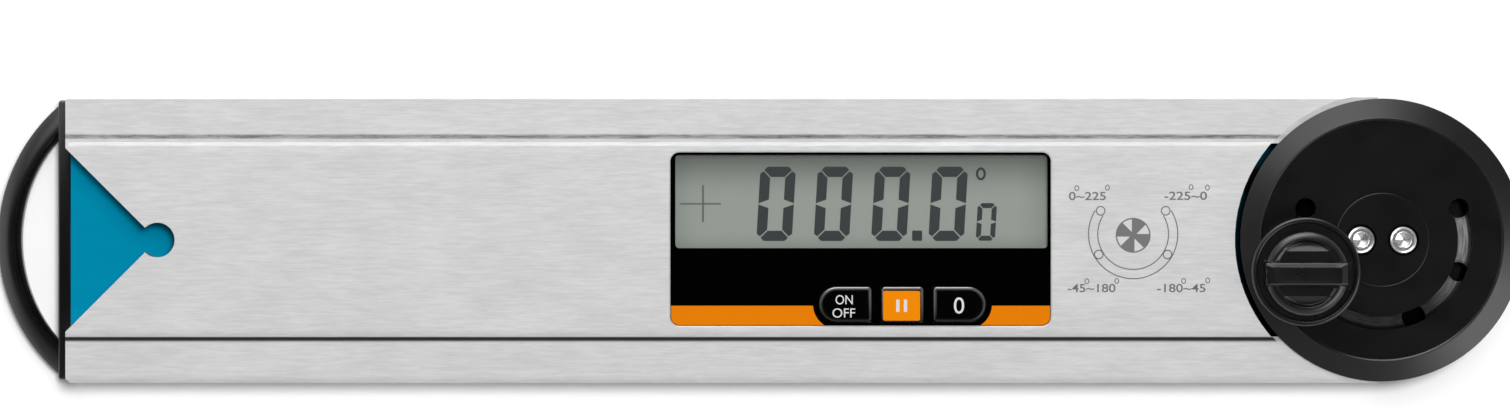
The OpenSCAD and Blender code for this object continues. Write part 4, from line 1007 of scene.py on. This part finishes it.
def print_on_arm():
    """The diagram of the knob's four places and the range of each: lines, a wheel of eight sectors and
    plain numbers, as thin as ink."""
    z0, z1 = FACE_Z - PRINT_SINK, FACE_Z + PRINT_LIFT
    parts = [ring_line(DIAGRAM_AT, r, r, LINE, z0, z1, *PATH_ENDS, 120) for r in PATH_R]
    for angle in PLACES:
        spot = arc(DIAGRAM_AT, PLACE_R, PLACE_R, angle, angle, 1)[0]
        parts.append(ring_line(spot, HOLE_R, HOLE_R, LINE, z0, z1, steps=40))
    points, faces = join(parts)
    piece("range_diagram", points, faces, "display", GREY_INK, 20)

    wheel = arc(WHEEL_AT, WHEEL_R + LINE / 2, WHEEL_R + LINE / 2, 0, 354, 60)
    tip_r, rim_r = SECTOR_R
    start, middle, end = SECTOR
    sectors = []
    for quarter_turn in range(0, 360, 90):
        rim = arc(WHEEL_AT, rim_r, rim_r, quarter_turn + start, quarter_turn + end, 12)
        tip = arc(WHEEL_AT, tip_r, tip_r, quarter_turn + middle, quarter_turn + middle, 1)
        sectors.append(prism(np.concatenate([tip, rim]), z0, z1 + SECTOR_LIFT))
    for name, parts, finish in (("wheel_dark", [prism(wheel, z0, z1)], DARK_INK),
                                ("wheel_pale", sectors, PALE_INK)):
        points, faces = join(parts)
        piece(name, points, faces, "display", finish, 20)

    parts = [words(text, left, right, base, NUMBER_TALL, z0, z1 - z0, NUMBER_BOLD)
             for text, left, right, base in RANGES]
    parts += [ring_line(spot, *DEGREE_MARK, z0, z1, steps=28) for spot in DEGREE_MARKS_AT]
    points, faces = join(parts)
    piece("range_labels", points, faces, "display", GREY_INK, 20)


# ---- Thin rolled edges on the disc ----

CAP_BEAD_RISE = 0.03
# Middle, radius, the bead's own radius, and top: the rim's inner side, the cap and the two screws' seats.
BEADS = [((0, 0), 25.5, 0.2, DISC_TOP), ((0, 0), 9.75, 0.12, PIVOT_TOP + CAP_BEAD_RISE),
         ((-4.45, 0), 3.38, 0.08, PIVOT_TOP), ((4.45, 0), 3.38, 0.08, PIVOT_TOP)]
BEAD_FLAT = 0.7                        # a bead's height is this share of its radius
BEAD_ROOT = 0.6                        # and it goes this deep into what carries it


def disc_beads():
    """Fine rounded edges: round the inner side of the disc's rim, round the cap in its middle and round
    the two screws' seats. Each is a flattened half circle turned round an upright axis."""
    a = np.linspace(0, PI, 7)
    parts = []
    for centre, radius, bead, top in BEADS:
        r = np.concatenate([radius + bead * np.cos(a), [radius - bead, radius + bead]])
        z = np.concatenate([top - bead * (1 - np.sin(a)) * BEAD_FLAT, [top - BEAD_ROOT, top - BEAD_ROOT]])
        parts.append(shell(turned(centre, r, z, 144)[::-1], round_rows=True))
    points, faces = join(parts)
    return piece("disc_edge_beads", points, faces, "base", KNOB_BLACK, 60)


knob()
end_cap()
socket_screws()
keys()
key_marks()
screen()
print_on_arm()
disc_beads()


# ---- Floor, light and camera ----

# Lengths in this section are in metres.
FLOOR_SIZE = 6.0
FLOOR_GAP = 0.0001
FLOOR_GLOW = 0.08
AMBIENT = 0.235
TENT = 0.24
TENT_RISE = 0.16
TENT_HORIZON = (80, 44)                # the tent is brightest past the first angle from upright
OPENING = (48, 30)                     # the opening overhead fades in between these angles from upright
OPENING_DARK = 0.97
# Soft boxes that mirrors see: strength, angle from upright, angle round from +X, and how far from the
# middle the box is full and has faded out.
SOFT_BOXES = [(1.8, 50, 112, 10, 33), (2.4, 50, 325, 8, 32), (0.15, 50, 265, 10, 40),
              (3.6, 84, 100, 14, 34), (0.7, 78, 180, 14, 30)]
# Suns: strength, size, and lean back and to the right.
SUNS = {"key": (1.95, 6.5, 3.7, 4.2), "fill": (0.78, 18, 10, 5)}
FIELD = 0.3171                         # width of the photograph at the arm's face
DISTANCE = 4.0                         # from the face to the camera
CAMERA_AT = (-0.13167, 0.00714)        # the photograph's middle
SENSOR = 36.0
CLIP_END = 50.0


def cosine(angle):
    return math.cos(math.radians(angle))


def direction(polar, azimuth):
    """Unit vector at an angle from upright and an angle round from +X, in degrees."""
    p, a = math.radians(polar), math.radians(azimuth)
    return (math.sin(p) * math.cos(a), math.sin(p) * math.sin(a), math.cos(p))


def floor():
    """A wide pale floor that keeps the shadow and shows white to the camera and in reflections."""
    mesh = bpy.data.meshes.new("floor")
    s = FLOOR_SIZE
    z = float(cad_box[0][2]) - FLOOR_GAP
    mesh.from_pydata([(-s, -s, z), (s, -s, z), (s, s, z), (-s, s, z)], [], [(0, 1, 2, 3)])
    made, f = material("floor_white")
    path = f.node("ShaderNodeLightPath", output="Is Camera Ray")
    gloss = f.node("ShaderNodeLightPath", output="Is Glossy Ray")
    clear = f.node("ShaderNodeLightPath", output="Is Transmission Ray")
    seen = path.above(gloss).above(clear)
    paper = f.noise((40, 40, 40), 2.0)
    matt = f.node("ShaderNodeBsdfDiffuse", {}, {"Color": f.blend(paper, grey(0.9), grey(0.92))})
    glow = f.node("ShaderNodeEmission", {}, {"Color": grey(1.0), "Strength": seen * FLOOR_GLOW})
    close(f, f.node("ShaderNodeAddShader", {}, [matt, glow]))
    mesh.materials.append(made)
    ground = bpy.data.objects.new("floor", mesh)
    bpy.context.scene.collection.objects.link(ground)


def studio():
    """A soft tent of light. Matt surfaces get an even share. Mirrors see a dark opening overhead, a tent
    that brightens towards the horizon, and soft boxes: two bright ones and a faint one half way up, and a
    strong one and a weak one low down."""
    world = bpy.data.worlds.new("studio")
    bpy.context.scene.world = world
    f = Finish(world)
    way = f.node("ShaderNodeTexCoord", output="Generated")
    z = f.node("ShaderNodeSeparateXYZ", {}, {"Vector": way}, output="Z")
    seen = f.node("ShaderNodeLightPath", output="Is Camera Ray")
    gloss = f.node("ShaderNodeLightPath", output="Is Glossy Ray").above(
        f.node("ShaderNodeLightPath", output="Is Transmission Ray"))

    def box(strength, polar, azimuth, inner, outer):
        """The strength within an angle of a direction, falling to 0 at a wider one."""
        facing = f.node("ShaderNodeVectorMath", {"operation": "DOT_PRODUCT"},
                        {0: way, 1: direction(polar, azimuth)}, output="Value")
        return strength * facing.ramp(cosine(outer), cosine(inner))

    opening = z.ramp(*(cosine(angle) for angle in OPENING))
    horizon = 1 - z.ramp(*(cosine(angle) for angle in TENT_HORIZON))
    tent = (TENT + TENT_RISE * horizon) * (1 - OPENING_DARK * opening)
    boxes = sum(box(*values) for values in SOFT_BOXES)
    strength = seen + (1 - seen) * (gloss * (tent + boxes) + (1 - gloss) * AMBIENT)
    glow = f.node("ShaderNodeBackground", {}, {"Color": grey(1.0), "Strength": strength})
    f.node("ShaderNodeOutputWorld", {}, {"Surface": glow})


def sun(name, energy, size, lean_back, lean_right):
    """A soft sun that leans back and to the right; mirrors don't see it, so that they keep the tent."""
    lamp = bpy.data.lights.new(name, "SUN")
    lamp.energy = energy
    lamp.angle = math.radians(size)
    held = bpy.data.objects.new(name, lamp)
    bpy.context.scene.collection.objects.link(held)
    held.rotation_euler = (-math.radians(lean_back), math.radians(lean_right), 0)
    held.visible_glossy = False


def camera():
    """Long lens straight above: its field at the arm's face is the photograph's width."""
    data = bpy.data.cameras.new("camera")
    data.sensor_width = SENSOR
    data.lens = DISTANCE * SENSOR / FIELD
    data.clip_end = CLIP_END
    held = bpy.data.objects.new("camera", data)
    bpy.context.scene.collection.objects.link(held)
    held.location = (*CAMERA_AT, FACE_Z * MM + DISTANCE)
    bpy.context.scene.camera = held


floor()
studio()
for sun_name, values in SUNS.items():
    sun(sun_name, *values)
camera()
bpy.context.scene.view_settings.view_transform = "Standard"
